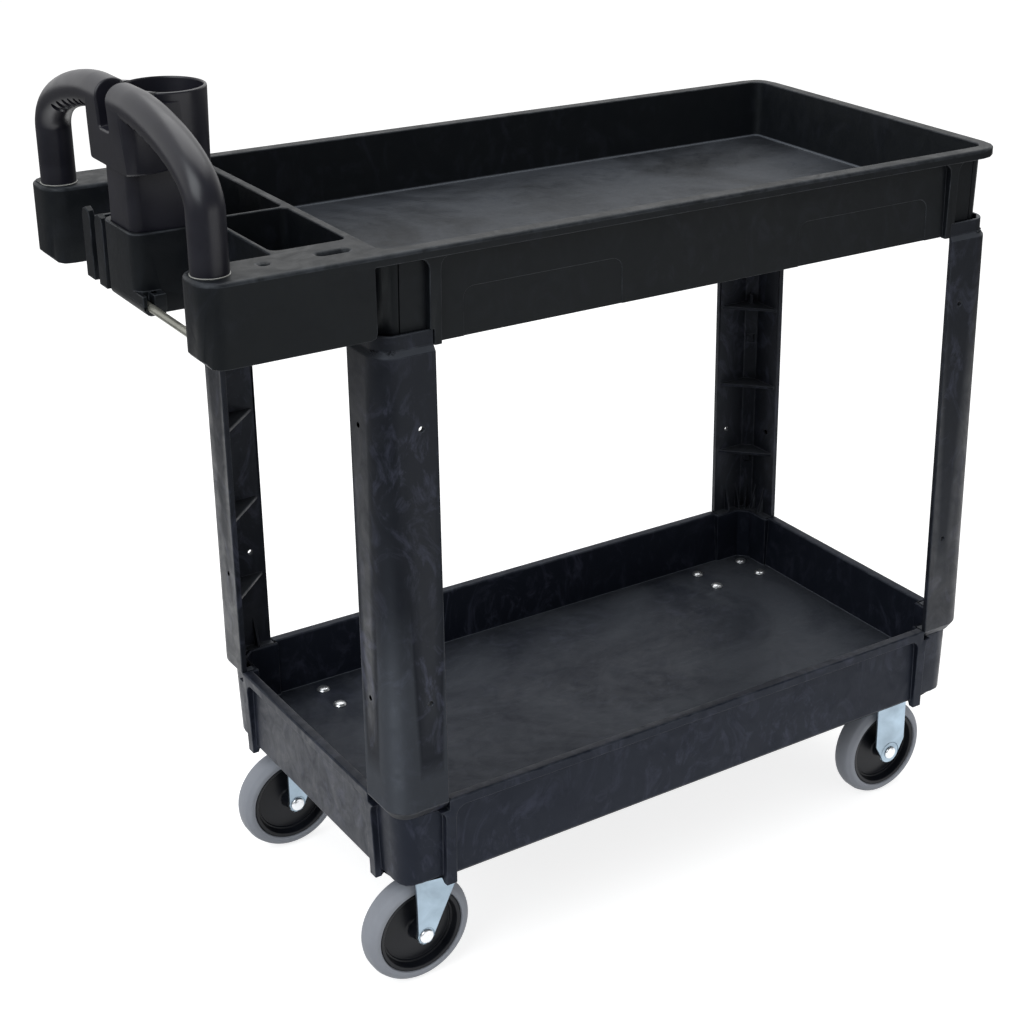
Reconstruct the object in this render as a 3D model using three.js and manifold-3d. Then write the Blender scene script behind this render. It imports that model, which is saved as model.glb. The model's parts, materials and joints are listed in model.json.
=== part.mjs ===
// Two-shelf rolling utility cart: moulded shelves and corner legs, a cup-holding handle and four casters.
// Millimetres. Z is up from the floor. X runs along the cart, handle at -X. Y runs across it.
import * as THREE from "three";
import { mergeVertices } from "three/addons/utils/BufferGeometryUtils.js";
import Module from "manifold-3d";

const wasm = await Module();
wasm.setup();

// ---------------------------------------------------------------- driving dimensions
// Overall
const shelfLength = 809; // both shelves, over their end frames
const shelfWidth = 444; // both shelves, over their side frames
const handleReach = 170; // from the shelf's end to the tips of the handle horns
const legLength = 505.5; // between the leg's two shoulders
const seatGap = 0.3; // left between pieces that seat on each other

// Shelves, both from one pattern
const wallHeight = 100;
const wallThickness = 6;
const floorThickness = 5;
const floorRise = 24; // underside of the floor above the wall's lower edge
const wallDraft = 3.5; // how much the outside widens from its lower edge to its rim
const shelfCorner = 26; // corner radius of shelves and legs
const rimWidth = 12.5;
const cavityDraft = 4.5; // how much the inside widens from the floor to the rim
const cavityCorner = 9;
const postSpan = 60; // length of the set-back corner posts
const postInset = 8; // how far they are set back from the frames
const frameWidth = 13; // upright frame between corner post and side panel
const frameFoot = 8; // how far a frame hangs below the wall
const panelInset = 7;
const panelCorner = 12;
const reliefDepth = 0.9; // pair of faint panels in each long side
const reliefReach = [117, 304]; // from the side's middle
const reliefDrop = 51; // their tops below the rim
const panelTop = 11.5; // rim band left above the panels and posts
const ribThickness = 4;
const ribSpacing = 150;

// Top shelf
const lipOverhang = 5;
const lipHeight = 11;
const lipCorner = 34;
const deckStart = 6.5; // from the shelf's end to the wall between tray and bins
const dividerThickness = 9;

// Handle end of the top shelf
const hornDepth = 81.5;
const hornWidth = 62;
const hornCorner = 22;
const hornTipRise = 8; // how far the underside curves up at the tip
const hornSkin = 5;
const deckFootRound = 7; // lower corner of the deck's sides, where they meet the shelf
const socketSetback = 22.5; // arm socket axis from the horn's tip
const armInset = 34.5; // and from the cart's side
const armSocketDepth = 48;
const socketWall = 5;
const socketClearance = 0.35;
const boxSetback = 10; // front of the centre box from the horn tips
const boxHalfWidth = 40.5;
const boxCorner = 12.5;
const backWallReach = 76.5; // from the shelf's end to the bins' back wall
const backWallThickness = 5;
const binFloorRise = 8;
const binSplit = -21; // side position of the wall between the two bins
const binReach = 158; // from the cart's middle to a bin's outer end
const binWall = 4;
const paddleWidth = 21;
const paddleThickness = 6.5;
const paddleGap = 13; // between the two tool-hook paddles; the inner one adjoins the box
const paddleFoot = 7; // their lower ends above the horns' underside
const paddleWeb = 5;
const slotLength = 32;
const slotWidth = 10.5;
const slotSetback = 31.5; // slot's centre behind the bins' divider
const ropeHole = 9;
const ropeHoleSetback = 18; // hole's centre behind the bins' back wall
const trimOffset = 6; // slot and hole stand this far inboard of the deck's middle

// Handle
const gripDiameter = 36;
const crownHeight = 123; // centre line of the arms' crown above the rim
const crownFlat = 44; // half the crown's level stretch
const shoulderDrop = 65; // from the crown down to where an arm turns upright
const armSweep = 35; // pull of the bend along the crown
const armRise = 44; // pull of the bend up the arm
const columnHalfWidth = 32.5;
const columnCorner = 12;
const columnPlug = 49; // how deep it stands in the centre box
const columnLedge = 4; // centre box's ledge in front of the column
const headRise = 59; // the column widens into its head this far above the rim
const headHalfWidth = 52;
const headStep = 5; // head stands this far in front of the column
const headCorner = 15;
const cupSetback = 54.5; // cup axis behind the column's front
const cupRadius = 41;
const cupTaper = 3;
const cupWall = 3.5;
const cupRise = 132; // cup rim above the shelf rim
const cupFloor = 14; // cup floor above the shelf rim
const mugSlotWidth = 25;
const mugSlotDrop = 34; // slot bottom below the cup rim
const gripPockets = 6;
const gripPocketStart = 20; // first pocket from the crown's level stretch
const gripPocketPitch = 17.5;
const gripPocketDepth = 7;
const gripPocketSize = [5, 7.5]; // half length along the arm, half width round it
const gripPocketTurn = 36; // degrees from the underside's middle

// Rod between centre box and horn
const rodDiameter = 8;
const rodRise = 11.5; // axis above the horns' underside
const rodSetback = 18; // axis from the horn tips
const rodGrip = 9; // how deep each end sits in its wall
const cradleReach = 14; // rod's cradle, out from the box's side
const cradleLength = 24;
const cradleHeight = 24;
const cradleSlot = 7;

// Legs
const flangeWidth = 64;
const flangeThickness = 6.5;
const legRibs = [91, 191, 303]; // heights above the lower shoulder
const legHoleHeights = [124, 428];
const legHoleSetback = 18.5; // from the flange's free edge
const legHole = 6;
const legInsideCorner = 12; // 45 degree face inside the leg's corner
const footBevelHeight = 11;
const footBevelInset = 7.75;
const shoulderBevel = 6;
const collarInset = 4.5;
const collarHeight = 15;
const collarWall = 4;
const seatPlate = 5; // web across the leg's head that the top shelf stands on
const footSink = 1.5; // leg's lower shoulder below the bottom shelf's rim
const tongueCorner = 12; // 45 degree face outside its corner, under the post's rounding
const tongueSkin = 1.8; // from the corner block's foot to the tongue
const housingWall = 3.5; // of the bottom shelf's pockets for the tongues
const tongueLength = 38;
const tongueThickness = 3.2;
const wedgeHeight = 42;
const wedgeThickness = 3;
const wedgeSetbacks = [20, 38]; // from a flange's free edge
const bossSize = 11;
const bossHeights = [70, 249];

// Casters
const wheelDiameter = 127;
const treadWidth = 32;
const treadDepth = 13; // tyre's radial thickness
const tyreGap = 0.15;
const coreWidth = 29;
const hubDiameter = 29;
const hubWidth = 42;
const axleDiameter = 8;
const sleeveDiameter = 12;
const runningGap = 0.25;
const casterHeight = 167; // plate top above the floor
const padThickness = 8;
const plateLength = 95;
const plateWidth = 64;
const plateThickness = 3;
const boltPattern = [76, 44.5];
const boltDiameter = 6.4;
const boltHead = 14;
const boltClearance = 0.3;
const spotDepth = 0.6; // spot faces in the floor that the bolt heads sit in
const casterInset = 77; // plate centre from the shelf's end
const casterSide = 61.5; // wheel plane from the shelf's side
const swivelTrail = 27;
const forkThickness = 3;
const forkGap = 45; // between the fork's legs
const forkWidth = 49; // of a swivel fork's leg at its top
const forkEye = 10; // radius round the axle
const forkTaper = 57; // the leg's slanted edge, from the axle's height up
const crownBack = 25; // crown plate behind the king pin, clear of the shelf's wall as it turns
const shoulderDepth = [7, 22]; // the legs' slope out to their full width, below the crown's top
const bracketWidth = 46.5; // of a rigid caster's leg
const bracketEye = 14;
const bracketTaper = 14;
const raceDiameter = 52;
const raceHeight = 9;
const kingPinDiameter = 10;

// ---------------------------------------------------------------- places worked out from them
const shelfFar = (shelfLength + handleReach - lipOverhang) / 2;
const shelfNear = shelfFar - shelfLength;
const hornTip = shelfNear - handleReach;
const halfWidth = shelfWidth / 2;
const lowBottom = casterHeight + padThickness - floorRise;
const lowRim = lowBottom + wallHeight;
const lowFloor = lowBottom + floorRise + floorThickness;
const legFoot = lowRim - footSink;
const legHead = legFoot + legLength;
const topBottom = legHead + shoulderBevel;
const topRim = topBottom + wallHeight;
const topFloor = topBottom + floorRise + floorThickness;
const hornBottom = topRim - hornDepth;
const outerY = halfWidth + lipOverhang;
const backWall = shelfNear - backWallReach;
const deckEdge = shelfNear + deckStart;
const boxFront = hornTip + boxSetback;
const columnFront = boxFront + columnLedge;
const armX = hornTip + socketSetback;
const armY = outerY - armInset;
const cupX = columnFront + cupSetback;
const wheelRadius = wheelDiameter / 2;

// ---------------------------------------------------------------- solids
const ARC = 2; // half the facets of a quarter round
const smallRound = 8; // facets round bolts and holes
const pinRound = 14; // round pins, sleeves and small bores
const gripRound = 16; // round the handle's arms and their sockets
const wheelRound = 24; // round wheels and the cup

function solid(geometry) {
  const bare = geometry.index ? geometry.toNonIndexed() : geometry.clone();
  bare.deleteAttribute("normal");
  bare.deleteAttribute("uv");
  const merged = mergeVertices(bare, 1e-4);
  const triVerts = new Uint32Array(merged.index.array);
  const mesh = { numProp: 3, vertProperties: new Float32Array(merged.attributes.position.array), triVerts };
  const made = new wasm.Manifold(new wasm.Mesh(mesh));
  if (made.volume() >= 0) return made;
  for (let i = 0; i < triVerts.length; i += 3) {
    [triVerts[i + 1], triVerts[i + 2]] = [triVerts[i + 2], triVerts[i + 1]];
  }
  return new wasm.Manifold(new wasm.Mesh(mesh));
}

const union = (solids) => solids.reduce((sum, next) => sum.add(next));
const cut = (body, tools) => body.subtract(union(tools));
const matrix = (m) => Array.from(m.elements);
const moved = (body, x, y, z) => body.transform(matrix(new THREE.Matrix4().makeTranslation(x, y, z)));
const mirrored = (body, x, y) => body.transform(matrix(new THREE.Matrix4().makeScale(x, y, 1)));

function box([x0, x1], [y0, y1], [z0, z1]) {
  const shape = new THREE.BoxGeometry(x1 - x0, y1 - y0, z1 - z0);
  return solid(shape.translate((x0 + x1) / 2, (y0 + y1) / 2, (z0 + z1) / 2));
}

function roundedOutline(halfX, halfY, r) {
  const shape = new THREE.Shape();
  shape.moveTo(halfX, -halfY + r);
  shape.absarc(halfX - r, halfY - r, r, 0, Math.PI / 2);
  shape.absarc(-halfX + r, halfY - r, r, Math.PI / 2, Math.PI);
  shape.absarc(-halfX + r, -halfY + r, r, Math.PI, 1.5 * Math.PI);
  shape.absarc(halfX - r, -halfY + r, r, 1.5 * Math.PI, 2 * Math.PI);
  return shape;
}

// An upright block with rounded corners, whose top stands out from its bottom by grow all round.
function block([x0, x1], [y0, y1], [z0, z1], r, grow = 0) {
  const half = [(x1 - x0) / 2, (y1 - y0) / 2];
  const outline = roundedOutline(...half, r);
  const geometry = new THREE.ExtrudeGeometry(outline, { depth: z1 - z0, bevelEnabled: false, curveSegments: ARC });
  const p = geometry.attributes.position;
  // How far a point moves along one axis: its corner's radius grows with the block.
  const shift = (at, reach) => (Math.sign(at) * Math.max(0, Math.abs(at) - reach + r) * grow) / r;
  for (let i = 0; i < p.count; i++) {
    if (p.getZ(i) > 0) p.setXY(i, p.getX(i) + shift(p.getX(i), half[0]), p.getY(i) + shift(p.getY(i), half[1]));
  }
  return solid(geometry.translate((x0 + x1) / 2, (y0 + y1) / 2, z0));
}

// An outline in X and Z, carried along Y from y0 to y1.
function sideProfile(shape, [y0, y1], segments = ARC) {
  const geometry = new THREE.ExtrudeGeometry(shape, { depth: y1 - y0, bevelEnabled: false, curveSegments: segments });
  return solid(geometry.rotateX(Math.PI / 2).translate(0, y1, 0));
}

// An outline in X and Y, carried up from z0 to z1.
function upright(shape, [z0, z1], segments = ARC) {
  const geometry = new THREE.ExtrudeGeometry(shape, { depth: z1 - z0, bevelEnabled: false, curveSegments: segments });
  return solid(geometry.translate(0, 0, z0));
}

const polygon = (points) => new THREE.Shape(points.map(([x, y]) => new THREE.Vector2(x, y)));

// A turned piece from [radius, height] points, about Y as three.js turns it, or stood up on Z.
function turned(points, segments, standing = false) {
  const profile = points.map(([r, h]) => new THREE.Vector2(r, h));
  const geometry = new THREE.LatheGeometry(profile, segments);
  if (standing) geometry.rotateX(Math.PI / 2);
  return solid(geometry);
}

function pin(r, [h0, h1], segments = pinRound, standing = true) {
  return turned([[0, h0], [r, h0], [r, h1], [0, h1]], segments, standing);
}

const materials = {
  foam: new THREE.MeshStandardMaterial({ color: 0x1c1e21, roughness: 0.62, metalness: 0 }),
  handle: new THREE.MeshStandardMaterial({ color: 0x2b2c34, roughness: 0.42, metalness: 0 }),
  zinc: new THREE.MeshStandardMaterial({ color: 0xb9c6cf, roughness: 0.3, metalness: 0.9 }),
  rod: new THREE.MeshStandardMaterial({ color: 0xb5b3a2, roughness: 0.45, metalness: 0.8 }),
  core: new THREE.MeshStandardMaterial({ color: 0x15161c, roughness: 0.5, metalness: 0 }),
  tyre: new THREE.MeshStandardMaterial({ color: 0x8c8d96, roughness: 0.6, metalness: 0 }),
};

function piece(name, body, material) {
  const { numProp, vertProperties, triVerts } = body.getMesh();
  const points = new Float32Array((vertProperties.length / numProp) * 3);
  for (let i = 0; i < points.length / 3; i++) {
    points.set(vertProperties.subarray(i * numProp, i * numProp + 3), i * 3);
  }
  const geometry = new THREE.BufferGeometry();
  geometry.setAttribute("position", new THREE.BufferAttribute(points, 3));
  geometry.setIndex(new THREE.BufferAttribute(new Uint32Array(triVerts), 1));
  geometry.computeVertexNormals();
  const mesh = new THREE.Mesh(geometry, material);
  mesh.name = name;
  return mesh;
}

// ---------------------------------------------------------------- shelves
const corners = [
  { end: "rear", side: "right", sx: -1, sy: -1 },
  { end: "rear", side: "left", sx: -1, sy: 1 },
  { end: "front", side: "right", sx: 1, sy: -1 },
  { end: "front", side: "left", sx: 1, sy: 1 },
];
const middleX = (shelfNear + shelfFar) / 2;
const halfLength = shelfLength / 2;
const beyond = halfLength + lipOverhang + 10; // outside everything on a centred shelf
const quarterTurn = matrix(new THREE.Matrix4().makeRotationZ(Math.PI / 2));
const swapped = (body) => mirrored(body.transform(quarterTurn), -1, 1); // exchanges X and Y

// Places a solid modelled at the +X +Y corner of a centred shelf at the corner asked for.
const atCorner = (body, { sx, sy }) => moved(mirrored(body, sx, sy), middleX, 0, 0);

// A panel outline on a wall, from x0 to x1, open below z0, with its upper corners rounded.
function panel([x0, x1], [z0, z1], [r0, r1]) {
  const shape = new THREE.Shape();
  shape.moveTo(x0, z0);
  shape.lineTo(x1, z0);
  shape.lineTo(x1, z1 - r1);
  if (r1 > 0) shape.absarc(x1 - r1, z1 - r1, r1, 0, Math.PI / 2);
  shape.lineTo(x0 + r0, z1);
  if (r0 > 0) shape.absarc(x0 + r0, z1 - r0, r0, Math.PI / 2, Math.PI);
  return shape;
}

// The corner post at the +X +Y corner, as a block that keeps everything behind its faces.
function cornerPost(z0) {
  const inset = postInset + wallDraft;
  return block(
    [-halfLength, halfLength - inset],
    [-halfWidth, halfWidth - inset],
    [z0 - frameFoot - 2, z0 + wallHeight],
    shelfCorner - wallDraft,
    wallDraft,
  );
}

// What is cut away in front of that post.
function postRecess(z0) {
  const high = [z0 - frameFoot - 1, z0 + wallHeight - panelTop];
  const alongX = sideProfile(panel([halfLength - postSpan, beyond], high, [panelCorner, 0]), [0, beyond]);
  const alongY = sideProfile(panel([halfWidth - postSpan, beyond], high, [panelCorner, 0]), [0, beyond]);
  return alongX.intersect(swapped(alongY)).subtract(cornerPost(z0));
}

// Walls, corner posts, frames and panels of either shelf, solid inside; z0 is the wall's lower edge.
function shelfOutside(z0) {
  const rim = z0 + wallHeight;
  const baseX = halfLength - wallDraft;
  const baseY = halfWidth - wallDraft;
  const walls = block([-baseX, baseX], [-baseY, baseY], [z0, rim], shelfCorner - wallDraft, wallDraft);
  const feet = [];
  for (const { sx, sy } of corners) {
    const footX = [halfLength - postSpan - frameWidth, halfLength - postSpan];
    const footY = [halfWidth - postSpan - frameWidth, halfWidth - postSpan];
    const footZ = [z0 - frameFoot, z0 + 1];
    feet.push(mirrored(box(footX, [baseY - postInset, baseY], footZ), sx, sy));
    feet.push(mirrored(box([baseX - postInset, baseX], footY, footZ), sx, sy));
  }
  const recess = postRecess(z0);
  const recesses = corners.map(({ sx, sy }) => mirrored(recess, sx, sy));
  const sideX = halfLength - postSpan - frameWidth;
  const sideY = halfWidth - postSpan - frameWidth;
  const high = [z0 - frameFoot - 1, rim - panelTop];
  const rounded = [panelCorner, panelCorner];
  const depth = panelInset + wallDraft / 2;
  const side = sideProfile(panel([-sideX, sideX], high, rounded), [halfWidth - depth, beyond]);
  const end = swapped(sideProfile(panel([-sideY, sideY], high, rounded), [halfLength - depth, beyond]));
  const low = [z0 - frameFoot - 1, rim - reliefDrop + reliefDepth];
  const relief = sideProfile(panel(reliefReach, low, rounded), [halfWidth - depth - reliefDepth, beyond]);
  const reliefs = corners.map(({ sx, sy }) => mirrored(relief, sx, sy));
  const panels = [side, mirrored(side, 1, -1), end, mirrored(end, -1, 1)];
  return cut(union([walls, ...feet]), [...recesses, ...panels, ...reliefs]);
}

// The hollow left under a shelf's floor between its walls, with the floor's ribs standing in it.
function shelfUnderside(z0) {
  const inset = postInset + wallDraft + wallThickness;
  const x = halfLength - inset;
  const y = halfWidth - inset;
  const ribZ = [z0 + floorRise * 0.4, z0 + floorRise + 1];
  const ribs = [];
  const bays = Math.max(2, Math.floor((2 * x) / ribSpacing));
  for (let i = 1; i < bays; i++) {
    const at = -x + (2 * x * i) / bays;
    ribs.push(box([at - ribThickness / 2, at + ribThickness / 2], [-y - 1, y + 1], ribZ));
  }
  for (const at of [-y / 4, y / 4]) {
    ribs.push(box([-x - 1, x + 1], [at - ribThickness / 2, at + ribThickness / 2], ribZ));
  }
  const hollow = block([-x, x], [-y, y], [z0 - frameFoot - 1, z0 + floorRise], cavityCorner);
  return hollow.subtract(union(ribs));
}

// The room above a floor, from floor to rim, widening upwards.
function cavity([x0, x1], [y0, y1], [floor, rim]) {
  const inner = [
    [x0 + cavityDraft, x1 - cavityDraft],
    [y0 + cavityDraft, y1 - cavityDraft],
  ];
  return block(...inner, [floor, rim + 1], cavityCorner, cavityDraft);
}

// ---------------------------------------------------------------- top shelf
const hornInner = outerY - hornWidth;

// One horn and the deck's side behind it, on the +Y side, with its tip rounded in plan and swept up below.
function horn() {
  const side = new THREE.Shape();
  const sweep = hornTip + hornTipRise * 1.5;
  side.moveTo(hornTip, hornBottom + hornTipRise);
  side.lineTo(hornTip + 4, hornBottom + hornTipRise - 3);
  side.quadraticCurveTo(hornTip + hornTipRise * 0.7, hornBottom, sweep, hornBottom);
  side.lineTo(shelfNear - deckFootRound, hornBottom);
  side.quadraticCurveTo(shelfNear, hornBottom, shelfNear, hornBottom + deckFootRound);
  side.lineTo(shelfNear, topRim);
  side.lineTo(hornTip, topRim);
  const r = hornCorner;
  const plan = new THREE.Shape();
  plan.moveTo(shelfNear, hornInner);
  plan.lineTo(shelfNear, outerY);
  plan.lineTo(hornTip + r, outerY);
  plan.absarc(hornTip + r, outerY - r, r, Math.PI / 2, Math.PI);
  plan.absarc(hornTip + r, hornInner + r, r, Math.PI, 1.5 * Math.PI);
  return sideProfile(side, [hornInner, outerY]).intersect(upright(plan, [hornBottom - 1, topRim + 1]));
}

// The horn's hollow underside, behind and beside the boss that the handle's arm stands in.
function hornHollow() {
  const wall = hornSkin;
  const x = [armX, shelfNear - wall];
  const z = [hornBottom - 1, topRim - wall];
  const hollow = block(x, [hornInner + wall, outerY - wall], z, hornCorner - wall);
  const boss = pin(gripDiameter / 2 + socketClearance + socketWall, [z[0] - 1, z[1] + 1]);
  return hollow.subtract(moved(boss, armX, armY, 0));
}

// A tool-hook paddle, its upper end arched, standing off the bins' back wall on a web.
function paddle(y) {
  const r = paddleWidth / 2;
  const z0 = hornBottom + paddleFoot;
  const face = new THREE.Shape();
  face.moveTo(y + r, z0);
  face.lineTo(y + r, topRim - r);
  face.absarc(y, topRim - r, r, 0, Math.PI);
  face.lineTo(y - r, z0);
  const plate = swapped(sideProfile(face, [boxFront, boxFront + paddleThickness]));
  const web = box([boxFront + 1, backWall + 1], [y - paddleWeb / 2, y + paddleWeb / 2], [z0, topRim - r]);
  return plate.add(web);
}

// The cradle on the box's side that the hanging rod's end lies in, open above through a slot.
function rodCradle() {
  const y = -boxHalfWidth;
  const r = rodRise;
  const face = new THREE.Shape();
  face.moveTo(y + boxCorner, hornBottom);
  face.lineTo(y + boxCorner, hornBottom + cradleHeight);
  face.lineTo(y - cradleReach, hornBottom + cradleHeight);
  face.lineTo(y - cradleReach, hornBottom + r);
  face.absarc(y - cradleReach + r, hornBottom + r, r, Math.PI, 1.5 * Math.PI);
  return swapped(sideProfile(face, [boxFront, boxFront + cradleLength]));
}

function topShelf() {
  const lip = block(
    [shelfNear - hornWidth, shelfFar + lipOverhang],
    [-outerY, outerY],
    [topRim - lipHeight, topRim],
    lipCorner,
  );
  const side = horn();
  const deckEnd = deckEdge + dividerThickness;
  const deck = box([backWall, deckEnd], [-hornInner - 1, hornInner + 1], [hornBottom, topRim]);
  const centre = block(
    [boxFront, backWall + boxCorner + 1],
    [-boxHalfWidth, boxHalfWidth],
    [hornBottom, topRim],
    boxCorner,
  );
  const inner = boxHalfWidth + paddleWidth / 2;
  const body = union([
    moved(shelfOutside(topBottom), middleX, 0, 0),
    lip,
    side,
    mirrored(side, 1, -1),
    deck,
    centre,
    rodCradle(),
    paddle(inner),
    paddle(inner + paddleWidth + paddleGap),
  ]);

  const tray = cavity(
    [deckEdge + dividerThickness, shelfFar - rimWidth],
    [-(halfWidth - rimWidth), halfWidth - rimWidth],
    [topFloor, topRim],
  );
  const binX = [backWall + backWallThickness, deckEdge];
  const binZ = [hornBottom + binFloorRise, topRim + 1];
  const bins = [
    block(binX, [-binReach, binSplit - binWall / 2], binZ, cavityCorner),
    block(binX, [binSplit + binWall / 2, binReach], binZ, cavityCorner),
  ];
  const hollow = hornHollow();
  const socketZ = [topRim - armSocketDepth, topRim + 1];
  const socket = moved(pin(gripDiameter / 2 + socketClearance, socketZ, gripRound), armX, armY, 0);
  const columnPocket = block(
    [columnFront - socketClearance, cupX + socketClearance],
    [-columnHalfWidth - socketClearance, columnHalfWidth + socketClearance],
    [topRim - columnPlug - seatGap, topRim + 1],
    columnCorner,
  );
  const slotY = trimOffset - (hornInner + outerY) / 2;
  const slotX = deckEdge - slotSetback;
  const slot = block(
    [slotX - slotLength / 2, slotX + slotLength / 2],
    [slotY - slotWidth / 2, slotY + slotWidth / 2],
    [hornBottom, topRim + 1],
    slotWidth / 2 - 0.1,
  );
  const hole = moved(pin(ropeHole / 2, [hornBottom, topRim + 1], smallRound), backWall - ropeHoleSetback, slotY, 0);
  const collarRoom = [topBottom - frameFoot - 1, topBottom + collarHeight + seatGap];
  const notch = cornerBox(flangeWidth + 2 * seatGap, collarRoom).subtract(cornerPost(topBottom));
  const rodBore = rodSolid(socketClearance);
  const rodX = hornTip + rodSetback;
  const rodZ = hornBottom + rodRise;
  const cradleCut = box(
    [rodX - cradleSlot / 2, rodX + cradleSlot / 2],
    [-boxHalfWidth - cradleReach - 1, -boxHalfWidth],
    [rodZ, hornBottom + cradleHeight + 1],
  );
  return cut(body, [
    tray,
    ...bins,
    hollow,
    mirrored(hollow, 1, -1),
    socket,
    mirrored(socket, 1, -1),
    columnPocket,
    slot,
    hole,
    rodBore,
    cradleCut,
    moved(shelfUnderside(topBottom), middleX, 0, 0),
    ...corners.map((corner) => atCorner(notch, corner)),
  ]);
}

// The hanging rod, from inside the centre box to inside the near horn's wall; grown by clearance for its seats.
function rodSolid(clearance) {
  const ends = [-hornInner - rodGrip - clearance, -boxHalfWidth + rodGrip + clearance];
  return moved(pin(rodDiameter / 2 + clearance, ends, pinRound, false), hornTip + rodSetback, 0, hornBottom + rodRise);
}

// ---------------------------------------------------------------- bottom shelf
const blockTop = legFoot - footBevelHeight - seatGap; // top of the set-back corner blocks
const tongueOuter = postInset + wallDraft + tongueSkin; // inset of the leg tongue's outer face
const tongueInner = tongueOuter + tongueThickness;
const housing = tongueInner + seatGap + housingWall; // inset of the shelf's inner corner wall

// An upright prism over a shelf's +X +Y corner, inset from its outer planes, its own corner cut off at 45 degrees.
function cornerPrism(inset, chamfer, z) {
  const x = halfLength - inset;
  const y = halfWidth - inset;
  const outline = [
    [0, 0],
    [x, 0],
    [x, y - chamfer],
    [x - chamfer, y],
    [0, y],
  ];
  return upright(polygon(outline), z);
}

// Everything within span of a shelf's +X +Y corner.
function cornerBox(span, z) {
  return box([halfLength - span, beyond], [halfWidth - span, beyond], z);
}

function bottomShelf() {
  const room = cavity(
    [-(halfLength - rimWidth), halfLength - rimWidth],
    [-(halfWidth - rimWidth), halfWidth - rimWidth],
    [lowFloor, lowRim],
  );
  const outside = shelfOutside(lowBottom);
  const walls = cornerBox(flangeWidth + housingWall, [lowFloor - 1, lowRim])
    .subtract(cornerPrism(housing, legInsideCorner, [0, topRim]));
  const pads = [];
  const seats = [];
  const holes = [];
  for (const { sx, sy } of corners) {
    const x = sx * (halfLength - casterInset);
    const y = sy * (halfWidth - casterSide);
    const padX = [x - plateLength / 2 - 3, x + plateLength / 2 + 3];
    const padY = [y - plateWidth / 2 - 3, y + plateWidth / 2 + 3];
    pads.push(box(padX, padY, [casterHeight + seatGap, lowBottom + floorRise + 1]));
    for (const [bx, by] of boltPlaces()) {
      const hole = pin(boltDiameter / 2 + boltClearance, [casterHeight - 1, lowFloor + 1], smallRound);
      const spot = pin(boltHead / 2 + boltClearance, [lowFloor - spotDepth, lowFloor + 1], smallRound);
      holes.push(moved(hole.add(spot), x + bx, y + by, 0));
    }
  }
  const seat = cornerBox(flangeWidth + 2 * seatGap, [blockTop, lowRim + 1])
    .subtract(cornerPrism(tongueInner + seatGap, legInsideCorner, [0, topRim]));
  const pocket = cornerBox(flangeWidth + 2 * seatGap, [blockTop - tongueLength - 1, lowRim + 1])
    .intersect(cornerPrism(tongueOuter - seatGap, tongueCorner, [0, topRim]))
    .subtract(cornerPrism(tongueInner + seatGap, legInsideCorner, [0, topRim]));
  for (const { sx, sy } of corners) seats.push(mirrored(seat.add(pocket), sx, sy));
  const housings = corners.map(({ sx, sy }) => mirrored(walls, sx, sy));
  const shell = outside.subtract(room).add(union(housings).intersect(outside));
  const body = cut(shell, [shelfUnderside(lowBottom), ...seats]);
  return moved(cut(union([body, ...pads]), holes), middleX, 0, 0);
}

// ---------------------------------------------------------------- legs
// The leg at the +X +Y corner: two flanges, a collar round the top shelf's corner post and a stepped tongue below.
function legBody() {
  const collarZ = [legHead + shoulderBevel, legHead + shoulderBevel + collarHeight];
  const full = (inset, z, r, grow) =>
    block([inset - halfLength, halfLength - inset], [inset - halfWidth, halfWidth - inset], z, r, grow);
  const envelope = union([
    full(0, [legFoot, legHead], shelfCorner, 0),
    full(footBevelInset, [legFoot - footBevelHeight, legFoot], shelfCorner - footBevelInset, footBevelInset),
    full(0, [legHead, collarZ[0]], shelfCorner, -collarInset),
    full(collarInset, collarZ, shelfCorner - collarInset, 0),
  ]);
  const seatTop = topBottom - seatGap;
  const hollows = union([
    cornerPrism(flangeThickness, legInsideCorner, [legFoot + 1, seatTop]),
    cornerPrism(collarInset + collarWall, legInsideCorner, [seatTop - 1, collarZ[1] + 1]),
    cornerPrism(tongueInner, legInsideCorner, [0, legFoot + 2]),
  ]);
  const shell = envelope.intersect(cornerBox(flangeWidth, [0, topRim])).subtract(hollows);
  const tongue = cornerBox(flangeWidth, [blockTop + seatGap - tongueLength, legFoot])
    .intersect(cornerPrism(tongueOuter, tongueCorner, [0, topRim]))
    .subtract(cornerPrism(tongueInner, legInsideCorner, [0, topRim]));
  return union([shell, tongue, legWeb([seatTop - seatPlate, seatTop]), ...legRibSolids(), ...footWedges()]);
}

// A web between the flanges, straight from one free edge to the other.
function legWeb(z) {
  const x = halfLength - flangeThickness + 1;
  const y = halfWidth - flangeThickness + 1;
  const edge = flangeWidth - ribThickness;
  const outline = [
    [x, halfWidth - edge],
    [x, y - legInsideCorner],
    [x - legInsideCorner, y],
    [halfLength - edge, y],
  ];
  return upright(polygon(outline), z);
}

// Places a solid modelled about the Z axis on the 45 degree face inside the leg's corner, turned to face inwards.
function onInsideCorner(body) {
  const inward = flangeThickness + legInsideCorner / 2;
  const turn = matrix(new THREE.Matrix4().makeRotationZ(Math.PI / 4));
  return moved(body.transform(turn), halfLength - inward, halfWidth - inward, 0);
}

function legRibSolids() {
  const webs = legRibs.map((h) => legWeb([legFoot + h, legFoot + h + ribThickness]));
  const half = bossSize / 2;
  const bosses = bossHeights.map((h) =>
    onInsideCorner(box([-1.5, 1], [-half, half], [legFoot + h, legFoot + h + bossSize])));
  return [...webs, ...bosses];
}

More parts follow.
